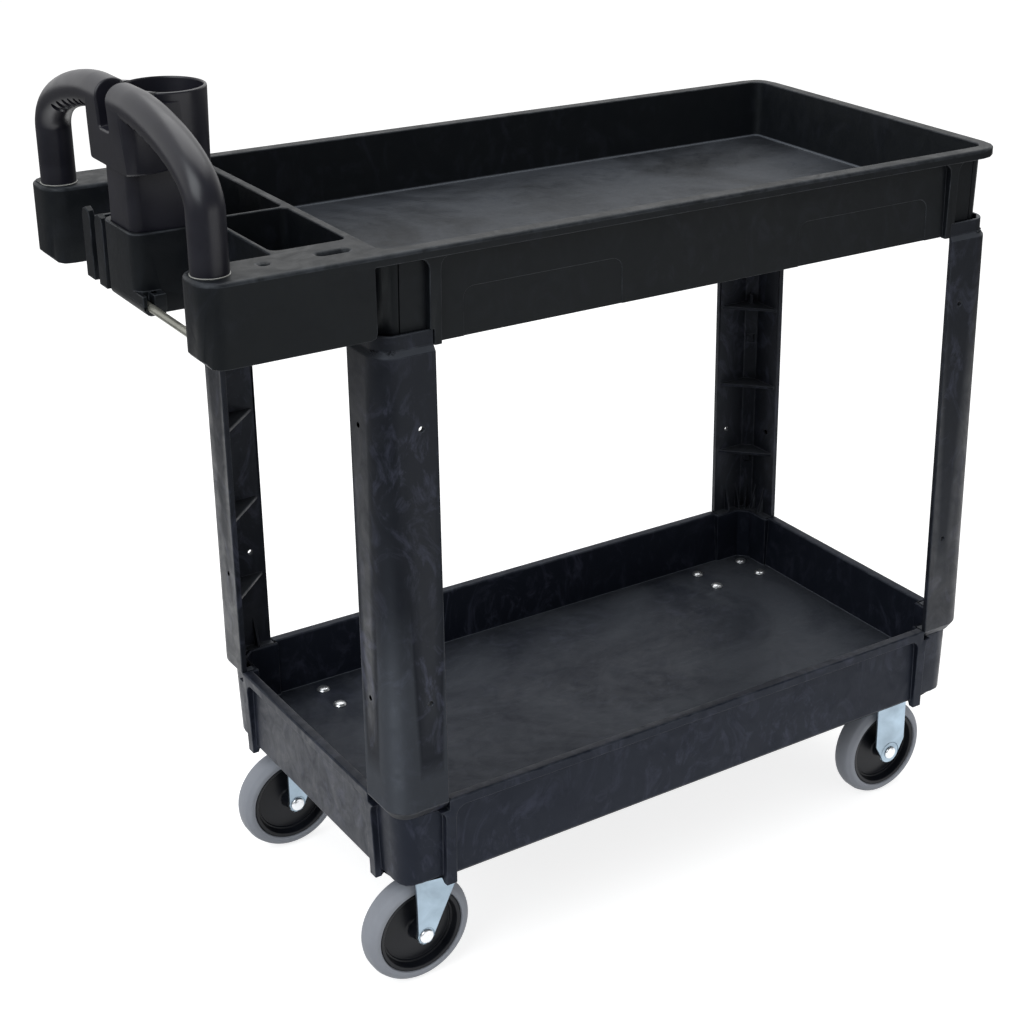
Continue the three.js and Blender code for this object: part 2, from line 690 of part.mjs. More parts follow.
// Upright wedges that stiffen the step between flange and tongue.
function footWedges() {
  const z = [legFoot, legFoot + wedgeHeight];
  const reach = tongueInner - flangeThickness;
  const half = wedgeThickness / 2;
  const wedge = (face, at) =>
    sideProfile(polygon([[face + 1, z[0]], [face - reach, z[0]], [face + 1, z[1]]]), [at - half, at + half]);
  const wedges = [onInsideCorner(wedge(0, 0))];
  for (const setback of wedgeSetbacks) {
    wedges.push(wedge(halfLength - flangeThickness, halfWidth - flangeWidth + setback));
    wedges.push(swapped(wedge(halfWidth - flangeThickness, halfLength - flangeWidth + setback)));
  }
  return wedges;
}

function leg() {
  const holes = [];
  for (const h of legHoleHeights) {
    for (const [face, across, place] of [
      [halfWidth, halfLength, (body) => body],
      [halfLength, halfWidth, swapped],
    ]) {
      const drill = pin(legHole / 2, [face - flangeThickness - 1, face + 1], smallRound, false);
      holes.push(place(moved(drill, across - flangeWidth + legHoleSetback, 0, legFoot + h)));
    }
  }
  return cut(legBody(), holes);
}

// ---------------------------------------------------------------- handle
const crownZ = topRim + crownHeight;
const cupRimZ = topRim + cupRise;

// Half the handle's centre line: the bend on the +Y side, from the arm's shoulder to the crown.
function bend(sy) {
  const shoulder = crownZ - shoulderDrop;
  return new THREE.CubicBezierCurve3(
    new THREE.Vector3(armX, sy * armY, shoulder),
    new THREE.Vector3(armX, sy * armY, shoulder + armRise),
    new THREE.Vector3(armX, sy * (crownFlat + armSweep), crownZ),
    new THREE.Vector3(armX, sy * crownFlat, crownZ),
  );
}

function arms() {
  const foot = (sy) => new THREE.Vector3(armX, sy * armY, topRim - armSocketDepth + seatGap);
  const rise = bend(1);
  const fall = bend(-1);
  const down = new THREE.CubicBezierCurve3(fall.v3, fall.v2, fall.v1, fall.v0);
  const path = new THREE.CurvePath();
  path.add(new THREE.LineCurve3(foot(1), rise.v0));
  path.add(rise);
  path.add(new THREE.LineCurve3(rise.v3, fall.v3));
  path.add(down);
  path.add(new THREE.LineCurve3(fall.v0, foot(-1)));
  const section = new THREE.Shape();
  section.absarc(0, 0, gripDiameter / 2, 0, 2 * Math.PI);
  return solid(new THREE.ExtrudeGeometry(section, { steps: 32, extrudePath: path, curveSegments: gripRound / 2 }));
}

// Finger pockets in two rows along the underside of each arm.
function gripPocketSolids() {
  const [along, round] = gripPocketSize;
  const outline = new THREE.Shape();
  outline.absellipse(0, 0, along, round, 0, 2 * Math.PI);
  const pockets = [];
  for (const sy of [-1, 1]) {
    const curve = bend(sy);
    const length = curve.getLength();
    for (let i = 0; i < gripPockets; i++) {
      const at = 1 - (gripPocketStart + i * gripPocketPitch) / length;
      const middle = curve.getPointAt(at);
      const tangent = curve.getTangentAt(at);
      const inward = new THREE.Vector3(0, -sy * Math.abs(tangent.z), -Math.abs(tangent.y));
      for (const side of [-1, 1]) {
        const axis = inward.clone().applyAxisAngle(tangent, (side * gripPocketTurn * Math.PI) / 180);
        const basis = new THREE.Matrix4().makeBasis(tangent, axis.clone().cross(tangent), axis);
        basis.setPosition(middle.clone().addScaledVector(axis, gripDiameter / 2 - gripPocketDepth));
        const options = { depth: 2 * gripPocketDepth, bevelEnabled: false, curveSegments: 3 };
        pockets.push(solid(new THREE.ExtrudeGeometry(outline, options).applyMatrix4(basis)));
      }
    }
  }
  return pockets;
}

function handle() {
  const column = block(
    [columnFront, cupX],
    [-columnHalfWidth, columnHalfWidth],
    [topRim - columnPlug, topRim + headRise + 1],
    columnCorner,
  );
  const head = block(
    [columnFront - headStep, cupX],
    [-headHalfWidth, headHalfWidth],
    [topRim + headRise, crownZ],
    headCorner,
  );
  const base = topRim + seatGap;
  const wall = [[0, base], [cupRadius - cupTaper, base], [cupRadius, cupRimZ], [0, cupRimZ]];
  const floor = topRim + cupFloor;
  const opening = cupRimZ + gripDiameter;
  const lower = cupRadius - cupTaper - cupWall;
  const upper = cupRadius - cupWall;
  const room = [[0, floor], [lower, floor], [upper, cupRimZ], [upper, opening], [0, opening]];
  const slotFloor = cupRimZ - mugSlotDrop;
  const slotShape = polygon([
    [columnFront - gripDiameter, slotFloor - 6],
    [cupX, slotFloor + 6],
    [cupX, opening],
    [columnFront - gripDiameter, opening],
  ]);
  return cut(union([arms(), column, head, moved(turned(wall, wheelRound, true), cupX, 0, 0)]), [
    moved(turned(room, wheelRound, true), cupX, 0, 0),
    sideProfile(slotShape, [-mugSlotWidth / 2, mugSlotWidth / 2]),
    ...gripPocketSolids(),
  ]);
}

// ---------------------------------------------------------------- casters, each about its plate's centre
const plateZ = [casterHeight - plateThickness, casterHeight];
const crownPlateTop = plateZ[0] - raceHeight;
const axleReach = forkGap / 2 + forkThickness;

function boltPlaces() {
  const [length, width] = boltPattern;
  return [-1, 1].flatMap((sx) => [-1, 1].map((sy) => [(sx * length) / 2, (sy * width) / 2]));
}

function casterPlate() {
  const plate = block([-plateLength / 2, plateLength / 2], [-plateWidth / 2, plateWidth / 2], plateZ, forkEye / 2);
  const hole = pin(boltDiameter / 2 + boltClearance, [plateZ[0] - 1, plateZ[1] + 1], smallRound);
  return cut(plate, boltPlaces().map(([x, y]) => moved(hole, x, y, 0)));
}

function swivelPlate() {
  return casterPlate().subtract(pin(kingPinDiameter / 2 + runningGap, [plateZ[0] - 1, plateZ[1] + 1]));
}

// The ball race between plate and fork, grooved where its two halves meet.
function ballRace() {
  const inner = kingPinDiameter / 2 + runningGap;
  const outer = raceDiameter / 2;
  const z0 = crownPlateTop + seatGap;
  const z1 = plateZ[0] - seatGap;
  const middle = (z0 + z1) / 2;
  const groove = 2.5;
  return turned(
    [
      [inner, z0],
      [outer - groove, z0],
      [outer, z0 + 1],
      [outer, middle - 1],
      [outer - groove, middle - 0.6],
      [outer - groove, middle + 0.6],
      [outer, middle + 1],
      [outer, z1 - 1],
      [outer - 1, z1],
      [inner, z1],
      [inner, z0],
    ],
    gripRound,
    true,
  );
}

function kingPin() {
  const r = kingPinDiameter / 2;
  const headTop = crownPlateTop - forkThickness - seatGap;
  const headR = 1.8 * r;
  const top = casterHeight - seatGap;
  const profile = [[0, headTop - r], [headR * 0.7, headTop - r], [headR, headTop - r / 2], [headR, headTop], [r, headTop]];
  return turned([...profile, [r, top], [0, top]], pinRound, true);
}

const axleBore = () => pin(axleDiameter / 2 + runningGap, [-axleReach - 1, axleReach + 1], pinRound, false);

// The swivelling fork: a crown plate on the king pin and two legs that rake back to the axle.
function swivelFork() {
  const axleX = -swivelTrail;
  const rear = axleX - forkEye;
  const crownZs = [crownPlateTop - forkThickness, crownPlateTop];
  const side = new THREE.Shape();
  side.moveTo(-crownBack, crownZs[1]);
  side.lineTo(-crownBack, crownZs[1] - shoulderDepth[0]);
  side.lineTo(rear, crownZs[1] - shoulderDepth[1]);
  side.lineTo(rear, wheelRadius);
  side.absarc(axleX, wheelRadius, forkEye, Math.PI, 1.85 * Math.PI);
  side.lineTo(rear + forkWidth, wheelRadius + forkTaper);
  side.lineTo(rear + forkWidth, crownZs[1]);
  const legs = [-1, 1].map((sy) => sideProfile(side, sy < 0 ? [-axleReach, -forkGap / 2] : [forkGap / 2, axleReach]));
  const bridge = block([-crownBack, rear + forkWidth], [-axleReach, axleReach], crownZs, forkThickness);
  const disc = pin(raceDiameter / 2 + 1, crownZs, wheelRound);
  const bore = moved(axleBore(), axleX, 0, wheelRadius);
  const pivot = pin(kingPinDiameter / 2 + runningGap, [crownZs[0] - 1, crownZs[1] + 1]);
  return cut(union([...legs, bridge, disc]), [bore, pivot]);
}

// The rigid caster's bracket: its plate with two straight legs that taper to the axle.
function rigidBracket() {
  const half = bracketWidth / 2;
  const side = new THREE.Shape();
  side.moveTo(-half, casterHeight - 1);
  side.lineTo(-half, wheelRadius + bracketTaper);
  side.absarc(0, wheelRadius, bracketEye, 1.12 * Math.PI, 1.88 * Math.PI);
  side.lineTo(half, wheelRadius + bracketTaper);
  side.lineTo(half, casterHeight - 1);
  const legs = [-1, 1].map((sy) => sideProfile(side, sy < 0 ? [-axleReach, -forkGap / 2] : [forkGap / 2, axleReach]));
  return union([casterPlate(), ...legs]).subtract(moved(axleBore(), 0, 0, wheelRadius));
}

// The axle bolt, its domed head outside the -Y leg.
function axleBolt() {
  const r = axleDiameter / 2;
  const face = -axleReach - seatGap;
  const end = axleReach + axleDiameter;
  return turned(
    [
      [0, face - 3.5],
      [4, face - 3.2],
      [7, face - 1.8],
      [8, face],
      [r, face],
      [r, end],
      [0, end],
    ],
    pinRound,
  );
}

function axleNut() {
  const bore = axleDiameter / 2 + runningGap;
  const y0 = axleReach + seatGap;
  const y1 = y0 + 0.75 * axleDiameter;
  const r = 0.95 * axleDiameter;
  return pin(r, [y0, y1], 6, false).subtract(pin(bore, [y0 - 1, y1 + 1], pinRound, false));
}

// The spanner sleeve that the hub turns on, held between the fork's legs.
function sleeve() {
  const half = forkGap / 2 - seatGap;
  const inner = axleDiameter / 2 + runningGap;
  const outer = sleeveDiameter / 2;
  return turned([[inner, -half], [outer, -half], [outer, half], [inner, half], [inner, -half]], pinRound);
}

const treadRadius = wheelRadius - treadDepth;

// A closed profile from its upper half.
function mirroredProfile(half) {
  const lower = half.map(([r, h]) => [r, -h]).reverse();
  return [...half, ...lower, half[0]];
}

// The dished wheel core: hub, thin web with a raised ring, and rim.
function wheelCore() {
  const bore = sleeveDiameter / 2 + runningGap;
  const hub = hubDiameter / 2;
  const rim = treadRadius - tyreGap;
  const half = [
    [bore, hubWidth / 2],
    [hub - 4, hubWidth / 2],
    [hub, coreWidth * 0.12],
    [rim - 9, coreWidth * 0.12],
    [rim - 4, coreWidth / 2],
    [rim, coreWidth / 2],
  ];
  return turned(mirroredProfile(half), wheelRound);
}

function tyre() {
  const half = treadWidth / 2;
  const profile = [
    [treadRadius, half],
    [wheelRadius - 6, half * 0.94],
    [wheelRadius - 1.6, half * 0.6],
    [wheelRadius, half * 0.2],
  ];
  return turned(mirroredProfile(profile), wheelRound);
}

// A caster bolt: domed head on the bottom shelf's floor, nut under the plate.
function casterBolt() {
  const r = boltDiameter / 2;
  const face = lowFloor - spotDepth + seatGap;
  const nutTop = plateZ[0] - seatGap;
  const nutBottom = nutTop - 0.8 * boltDiameter;
  const end = nutBottom - 1.5;
  const head = boltHead / 2;
  const shank = turned(
    [
      [0, end],
      [r, end],
      [r, face],
      [head, face],
      [head * 0.7, face + 2.7],
      [0, face + 3.8],
    ],
    smallRound,
    true,
  );
  return shank.add(pin(0.95 * boltDiameter, [nutBottom, nutTop], 6));
}

// ---------------------------------------------------------------- assembly
function wheelSet(name, x) {
  const set = new THREE.Group();
  set.position.set(x, 0, wheelRadius);
  set.add(
    piece(`${name}_axle_bolt`, axleBolt(), materials.zinc),
    piece(`${name}_axle_nut`, axleNut(), materials.zinc),
    piece(`${name}_sleeve`, sleeve(), materials.zinc),
    piece(`${name}_wheel_core`, wheelCore(), materials.core),
    piece(`${name}_tyre`, tyre(), materials.tyre),
  );
  return set;
}

function caster({ end, side, sx, sy }) {
  const group = new THREE.Group();
  group.position.set(middleX + sx * (halfLength - casterInset), sy * (halfWidth - casterSide), 0);
  const rear = end === "rear";
  const name = `${rear ? "swivel" : "rigid"}_${end}_${side}`;
  if (rear) {
    group.add(
      piece(`${name}_plate`, swivelPlate(), materials.zinc),
      piece(`${name}_ball_race`, ballRace(), materials.zinc),
      piece(`${name}_king_pin`, kingPin(), materials.zinc),
      piece(`${name}_fork`, swivelFork(), materials.zinc),
    );
  } else {
    group.add(piece(`${name}_bracket`, rigidBracket(), materials.zinc));
  }
  group.add(wheelSet(name, rear ? -swivelTrail : 0));
  boltPlaces().forEach(([x, y], i) => {
    const bolt = piece(`bolt_${end}_${side}_${i + 1}`, casterBolt(), materials.zinc);
    bolt.position.set(x, y, 0);
    group.add(bolt);
  });
  return group;
}

const cart = new THREE.Group();
cart.name = "utility_cart";
cart.add(
  piece("top_shelf", topShelf(), materials.foam),
  piece("bottom_shelf", bottomShelf(), materials.foam),
  piece("handle", handle(), materials.handle),
  piece("hanger_rod", rodSolid(0), materials.rod),
);
for (const corner of corners) {
  cart.add(piece(`leg_${corner.end}_${corner.side}`, atCorner(leg(), corner), materials.foam));
  cart.add(caster(corner));
}

export default cart;
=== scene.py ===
"""Finished pieces of a two-shelf rolling utility cart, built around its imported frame."""

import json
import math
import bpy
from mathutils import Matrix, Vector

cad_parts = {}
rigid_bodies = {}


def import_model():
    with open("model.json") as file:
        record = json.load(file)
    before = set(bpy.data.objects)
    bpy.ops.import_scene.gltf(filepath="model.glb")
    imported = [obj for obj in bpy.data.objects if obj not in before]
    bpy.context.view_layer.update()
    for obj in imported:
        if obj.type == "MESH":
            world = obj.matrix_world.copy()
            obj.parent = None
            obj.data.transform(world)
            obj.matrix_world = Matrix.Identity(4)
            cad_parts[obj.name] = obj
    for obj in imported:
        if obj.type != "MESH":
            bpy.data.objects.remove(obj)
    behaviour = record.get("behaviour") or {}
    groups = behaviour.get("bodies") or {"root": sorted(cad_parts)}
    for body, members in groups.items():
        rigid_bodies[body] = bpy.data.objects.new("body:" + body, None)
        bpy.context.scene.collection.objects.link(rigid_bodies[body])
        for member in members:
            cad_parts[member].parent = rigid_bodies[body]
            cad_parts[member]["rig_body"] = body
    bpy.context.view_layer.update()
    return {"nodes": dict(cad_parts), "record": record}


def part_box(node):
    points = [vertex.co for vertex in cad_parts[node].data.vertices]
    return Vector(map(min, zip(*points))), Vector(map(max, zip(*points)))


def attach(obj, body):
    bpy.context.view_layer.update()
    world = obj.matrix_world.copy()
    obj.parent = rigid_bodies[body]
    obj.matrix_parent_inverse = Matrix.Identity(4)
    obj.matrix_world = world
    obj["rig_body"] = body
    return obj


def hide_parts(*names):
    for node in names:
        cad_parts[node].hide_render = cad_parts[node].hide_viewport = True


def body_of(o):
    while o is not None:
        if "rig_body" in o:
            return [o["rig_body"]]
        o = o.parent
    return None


bl_info = {
    "name": "Utility Cart",
    "version": (1, 0, 0),
    "blender": (4, 5, 0),
    "location": "3D View > Sidebar > Utility Cart",
    "description": "Builds a rolling utility cart around its packed frame",
    "category": "Object",
}

import bmesh
import bpy
from mathutils import Euler, Matrix, Vector
from mathutils.geometry import interpolate_bezier

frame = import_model()
MM = 0.001
SIDES = ("right", "left")
CASTERS = ("swivel_rear_right", "swivel_rear_left", "rigid_front_right", "rigid_front_left")
SLOT_OF = {row["node"]: row["material_slot"] for row in frame["record"]["subparts"]}
FLOOR_RISE = 37.0  # from a shelf's lowest point up to its floor, in millimetres
# the faces of rounded edges carry a painted highlight mixed with wear in the foam's colour
WEAR_AND_HIGHLIGHT = "edge_wear_and_highlight"  # 1 on the faces of a rounded edge, 0 on the rest
MERGE = 0.001  # points closer than this are one, in millimetres
FLAT = math.radians(0.4)  # faces that meet at less than this are one flat face
QUARTER = math.pi / 2
WHITE = (1.0, 1.0, 1.0)
COOL = (0.93, 0.97, 1.0)


def box_mm(node):
    """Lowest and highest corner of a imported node, in millimetres."""
    low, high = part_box(node)
    return low / MM, high / MM


def axis_mm(node, along):
    """A point on the axis of a packed turned node, with 0 along that axis, in millimetres."""
    place = [(a + b) / 2 for a, b in zip(*box_mm(node))]
    place["XYZ".index(along)] = 0.0
    return place


# ---------------------------------------------------------------- settings
class CartPlasticSettings(bpy.types.PropertyGroup):
    colour: bpy.props.FloatVectorProperty(
        name="Moulded black",
        description="Base colour of the structural foam shelves and legs",
        subtype="COLOR",
        size=3,
        min=0.0,
        max=1.0,
        default=(0.0055, 0.0060, 0.0070),
    )
    bloom: bpy.props.FloatVectorProperty(
        name="Flow marks",
        description="Colour of the pale swirls that the foam leaves in its skin",
        subtype="COLOR",
        size=3,
        min=0.0,
        max=1.0,
        default=(0.056, 0.060, 0.090),
    )
    # also the colour of painted light: sheen on the floors, light on what looks up, highlights on rounded edges
    # and in the floors' corners
    dust_and_painted_light: bpy.props.FloatVectorProperty(
        name="Scuffed floor",
        description="Colour of the scuffed skin of the two floors",
        subtype="COLOR",
        size=3,
        min=0.0,
        max=1.0,
        default=(0.048, 0.053, 0.062),
    )
    rim_radius: bpy.props.FloatProperty(
        name="Rim radius",
        description="Radius on the outer edges of the shelves' rims, in millimetres",
        min=0.0,
        default=4.0,
    )
    floor_radius: bpy.props.FloatProperty(
        name="Floor radius",
        description="Radius where a shelf's floor meets its walls, in millimetres",
        min=0.0,
        default=3.0,
    )
    edge_radius: bpy.props.FloatProperty(
        name="Edge radius",
        description="Radius on the other edges of the shelves and legs, in millimetres",
        min=0.0,
        default=1.0,
    )


class CartHandleSettings(bpy.types.PropertyGroup):
    grip: bpy.props.FloatProperty(
        name="Grip diameter",
        description="Diameter of the handle's arms, in millimetres",
        min=10.0,
        default=36.0,
    )
    flat: bpy.props.FloatProperty(
        name="Crown flat",
        description="Half the level stretch between the arms' bends, in millimetres",
        min=10.0,
        default=44.0,
    )
    drop: bpy.props.FloatProperty(
        name="Shoulder drop",
        description="From the crown down to where an arm turns upright, in millimetres",
        min=10.0,
        default=65.0,
    )
    pulls: bpy.props.FloatVectorProperty(
        name="Bend pulls",
        description="Pull of an arm's bend along the crown and up the arm, in millimetres",
        size=2,
        default=(35.0, 44.0),
    )
    cup_radius: bpy.props.FloatProperty(
        name="Cup radius",
        description="Outer radius of the cup holder at its rim, in millimetres",
        min=10.0,
        default=41.0,
    )
    pockets: bpy.props.IntProperty(
        name="Finger pockets",
        description="Finger pockets in each row under an arm",
        min=0,
        default=6,
    )


class CartCasterSettings(bpy.types.PropertyGroup):
    segments: bpy.props.IntProperty(
        name="Wheel segments",
        description="Facets round each wheel",
        min=12,
        default=96,
    )
    bolt_head: bpy.props.FloatProperty(
        name="Bolt head",
        description="Diameter of the caster bolts' domed heads, in millimetres",
        min=1.0,
        default=16.5,
    )
    bolt_seed: bpy.props.IntProperty(
        name="Bolt turn seed",
        description="Seed for how far each caster bolt is turned",
        default=4,
    )


class CartStageSettings(bpy.types.PropertyGroup):
    lens: bpy.props.FloatProperty(
        name="Focal length",
        description="Focal length of the camera on a 36 mm sensor",
        min=10.0,
        default=68.856,
    )
    place: bpy.props.FloatVectorProperty(
        name="Camera place",
        description="Where the camera stands",
        subtype="TRANSLATION",
        unit="LENGTH",
        size=3,
        default=(-1.12559, -1.78966, 1.38828),
    )
    heading: bpy.props.FloatVectorProperty(
        name="Camera heading",
        description="Turn from straight ahead to the right, tilt down and roll",
        subtype="EULER",
        unit="ROTATION",
        size=3,
        default=(math.radians(36.214), math.radians(21.355), math.radians(0.951)),
    )
    shift: bpy.props.FloatVectorProperty(
        name="Lens shift",
        description="Shift of the picture across and up, as shares of its width",
        size=2,
        default=(-0.15488, -0.09480),
    )


# ---------------------------------------------------------------- materials
def add(tree, kind, inputs=None, **settings):
    """A node of that kind with its settings made and its inputs set or linked."""
    made = tree.nodes.new(kind)
    for name, value in settings.items():
        setattr(made, name, value)
    for name, value in (inputs or {}).items():
        if isinstance(value, bpy.types.NodeSocket):
            tree.links.new(value, made.inputs[name])
        else:
            made.inputs[name].default_value = value
    return made


def new_material(name):
    """An empty material and its tree."""
    material = bpy.data.materials.new(name)
    material.use_nodes = True
    material.node_tree.nodes.clear()
    return material, material.node_tree


def finish_material(tree, shader):
    """Joins a shader to the material's output."""
    output = tree.nodes.new("ShaderNodeOutputMaterial")
    tree.links.new(shader.outputs[0], output.inputs["Surface"])


def place_of(tree, stretch=(1.0, 1.0, 1.0), turn=0.0):
    """Object coordinates, squeezed or stretched by stretch and turned about the vertical."""
    coordinates = tree.nodes.new("ShaderNodeTexCoord")
    return add(
        tree,
        "ShaderNodeMapping",
        {"Vector": coordinates.outputs["Object"], "Rotation": (0.0, 0.0, turn), "Scale": stretch},
    ).outputs["Vector"]


def noise(tree, vector, scale, detail=4.0, distortion=0.0, roughness=0.5):
    """Soft noise from 0 to 1 over these coordinates."""
    inputs = {"Vector": vector, "Scale": scale, "Detail": detail}
    inputs.update({"Roughness": roughness, "Distortion": distortion})
    return add(tree, "ShaderNodeTexNoise", inputs).outputs["Fac"]


def ranged(tree, value, low, high, to_low=0.0, to_high=1.0):
    """The value carried from the range low to high to the range to_low to to_high, and held inside it."""
    inputs = {"Value": value, "From Min": low, "From Max": high, "To Min": to_low, "To Max": to_high}
    return add(tree, "ShaderNodeMapRange", inputs).outputs["Result"]


def mixed(tree, factor, first, second):
    """The first colour where factor is 0 and the second where it is 1."""
    made = add(tree, "ShaderNodeMix", data_type="RGBA")
    for socket, value in zip((made.inputs[0], made.inputs[6], made.inputs[7]), (factor, first, second)):
        if isinstance(value, bpy.types.NodeSocket):
            tree.links.new(value, socket)
        else:
            socket.default_value = value
    return made.outputs[2]


def maths(tree, operation, first, second):
    """Two values, each a number or a socket, put together."""
    return add(tree, "ShaderNodeMath", {0: first, 1: second}, operation=operation).outputs[0]


def bump(tree, height, strength, distance, normal=None):
    """The surface's direction over small waves of this height, on top of any other waves."""
    inputs = {"Height": height, "Strength": strength, "Distance": distance}
    if normal is not None:
        inputs["Normal"] = normal
    return add(tree, "ShaderNodeBump", inputs).outputs["Normal"]


def split(tree, vector):
    """The three parts of a vector."""
    return add(tree, "ShaderNodeSeparateXYZ", {"Vector": vector}).outputs


def solid_colour(colour):
    """The colour with nothing see-through about it."""
    return (*colour, 1.0)


def facing_up(tree, low=0.8, high=0.95):
    """1 on faces that look up, 0 on the rest."""
    normal = tree.nodes.new("ShaderNodeTexCoord").outputs["Normal"]
    return ranged(tree, split(tree, normal)["Z"], low, high)


def near_height(tree, height, reach):
    """1 within reach of a height above the ground, 0 away from it."""
    away = maths(tree, "ABSOLUTE", maths(tree, "SUBTRACT", split(tree, place_of(tree))["Z"], height), 0.0)
    return ranged(tree, away, reach, 2 * reach, 1.0, 0.0)


def coated(tree, inputs):
    """Joins a principled shader with these inputs to the material's output."""
    finish_material(tree, add(tree, "ShaderNodeBsdfPrincipled", inputs))


def structural_foam(name, painted_light_tint, marks_share, gloss, sheen, painted_top_light=0.0):
    """Black structural foam: satin skin, pale flow marks, a lighter and bluer tint for how light falls on each
    moulding, scuffed floors lightened by a painted sheen, painted light on what looks up, a painted highlight
    mixed with wear on rounded edges, a painted highlight in the floors' corners, and a fine grain.

    marks_share is how strong the flow marks get, gloss and sheen are the level and the tint of
    what it mirrors, and the last argument is how much painted light lies on what looks up.
    """
    settings = bpy.context.scene.cart_plastic
    dust_and_painted_light = solid_colour(settings.dust_and_painted_light)
    material, tree = new_material(name)
    place = place_of(tree)
    upright = place_of(tree, stretch=(1.0, 1.0, 0.6))

    # flow marks, in clouds that come and go
    swirl = noise(tree, upright, scale=24.0, detail=9.0, distortion=2.2, roughness=0.68)
    cloud = noise(tree, place, scale=6.0, detail=3.0, distortion=0.8)
    cloud = ranged(tree, cloud, 0.35, 0.66, 0.15 * marks_share, marks_share)
    marks = maths(tree, "MULTIPLY", ranged(tree, swirl, 0.5, 0.68), cloud)
    # the tint paints light: a lighter, bluer copy of the black for how light falls on each moulding
    base = solid_colour([c * t for c, t in zip(settings.colour, painted_light_tint)])
    colour = mixed(tree, marks, base, solid_colour(settings.bloom))

    # painted light on what looks up, and on the rounded edges a painted highlight mixed with wear where hands
    # and goods rub them
    if painted_top_light > 0:
        lit_from_above = facing_up(tree, 0.4, 0.55)
        colour = mixed(tree, ranged(tree, lit_from_above, 0.0, 1.0, 0.0, painted_top_light), colour, dust_and_painted_light)
    # painted highlight mixed with wear on the faces of rounded edges
    edges = add(tree, "ShaderNodeAttribute", attribute_name=WEAR_AND_HIGHLIGHT).outputs["Fac"]
    wear_and_glint_noise = noise(tree, place, scale=45.0, detail=5.0, distortion=0.8, roughness=0.6)
    wear_and_glint = ranged(tree, wear_and_glint_noise, 0.35, 0.65, 0.05, 0.5)
    colour = mixed(tree, maths(tree, "MULTIPLY", edges, wear_and_glint), colour, dust_and_painted_light)

    # scuffed floors with drawn-out scratches, lightened as a painted sheen, and a painted highlight on the
    # fillet in their corners
    shelves = ("top_shelf", "bottom_shelf")
    floors = [near_height(tree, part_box(node)[0].z + FLOOR_RISE * MM, reach=0.003) for node in shelves]
    level = maths(tree, "MAXIMUM", *floors)
    floor = maths(tree, "MULTIPLY", facing_up(tree), level)
    patch = noise(tree, place, scale=4.0, detail=7.0, distortion=1.4, roughness=0.62)
    patch = ranged(tree, patch, 0.38, 0.6, 0.18, 0.8)
    streaks = place_of(tree, stretch=(0.3, 1.6, 1.0), turn=0.5)
    scratch = noise(tree, streaks, scale=55.0, detail=7.0, distortion=1.2, roughness=0.72)
    scratch = ranged(tree, scratch, 0.56, 0.7, 0.0, 0.3)
    # scuffs with a painted sheen: every floor is lightened at least a little
    scuffs_and_sheen = maths(tree, "ADD", patch, scratch)
    colour = mixed(tree, maths(tree, "MULTIPLY", floor, scuffs_and_sheen), colour, dust_and_painted_light)
    # a painted highlight along the fillet where each floor meets its walls
    fillet_highlight = maths(tree, "SUBTRACT", facing_up(tree, 0.3, 0.4), facing_up(tree))
    pale = solid_colour([1.5 * c for c in settings.dust_and_painted_light])
    colour = mixed(tree, maths(tree, "MULTIPLY", level, fillet_highlight), colour, pale)

    # the skin's uneven gloss, its slow waves and its grain
    gloss_cloud = noise(tree, place, scale=34.0, detail=6.0, distortion=1.2, roughness=0.6)
    waves = noise(tree, upright, scale=70.0, detail=5.0, distortion=0.6, roughness=0.6)
    normal = bump(tree, waves, strength=0.3, distance=0.0006)
    grain = noise(tree, place, scale=900.0, detail=2.0)
    normal = bump(tree, grain, strength=0.2, distance=0.0002, normal=normal)
    coated(
        tree,
        {
            "Base Color": colour,
            "Roughness": ranged(tree, gloss_cloud, 0.3, 0.7, 0.36, 0.56),
            "Normal": normal,
            "Specular IOR Level": gloss,
            "Specular Tint": solid_colour(sheen),
        },
    )
    return material


def plain(name, colour, roughness, metallic=0.0, specular=0.5, spread=0.15, grain=0.1):
    """A finish with a fine grain and a slight change of colour and gloss over the surface."""
    material, tree = new_material(name)
    place = place_of(tree)
    cloud = noise(tree, place, scale=30.0, detail=4.0, distortion=0.5)
    pores = noise(tree, place, scale=1100.0, detail=2.0)
    darker, lighter = (solid_colour([share * c for c in colour]) for share in (1.0 - spread, 1.0 + spread))
    coated(
        tree,
        {
            "Base Color": mixed(tree, ranged(tree, cloud, 0.3, 0.7), darker, lighter),
            "Roughness": ranged(tree, cloud, 0.3, 0.7, roughness - 0.05, roughness + 0.05),
            "Metallic": metallic,
            "Specular IOR Level": specular,
            "Normal": bump(tree, pores, strength=grain, distance=0.0001),
        },
    )
    return material


# tint, share of flow marks, gloss, sheen and painted light on ledges of the three foam mouldings;
# the tints are painted light: lit and shaded copies of one black foam, lighter and bluer on the legs and the
# bottom shelf
FOAMS = {
    "foam_top": ((1.0, 1.1, 1.2), 0.12, 0.19, (0.95, 1.0, 1.0)),
    "foam_legs": ((1.4, 1.5, 1.8), 0.8, 0.24, (0.82, 0.88, 1.0), 0.7),
    "foam_low": ((1.2, 1.35, 1.9), 0.55, 0.2, (0.66, 0.76, 1.0)),
}
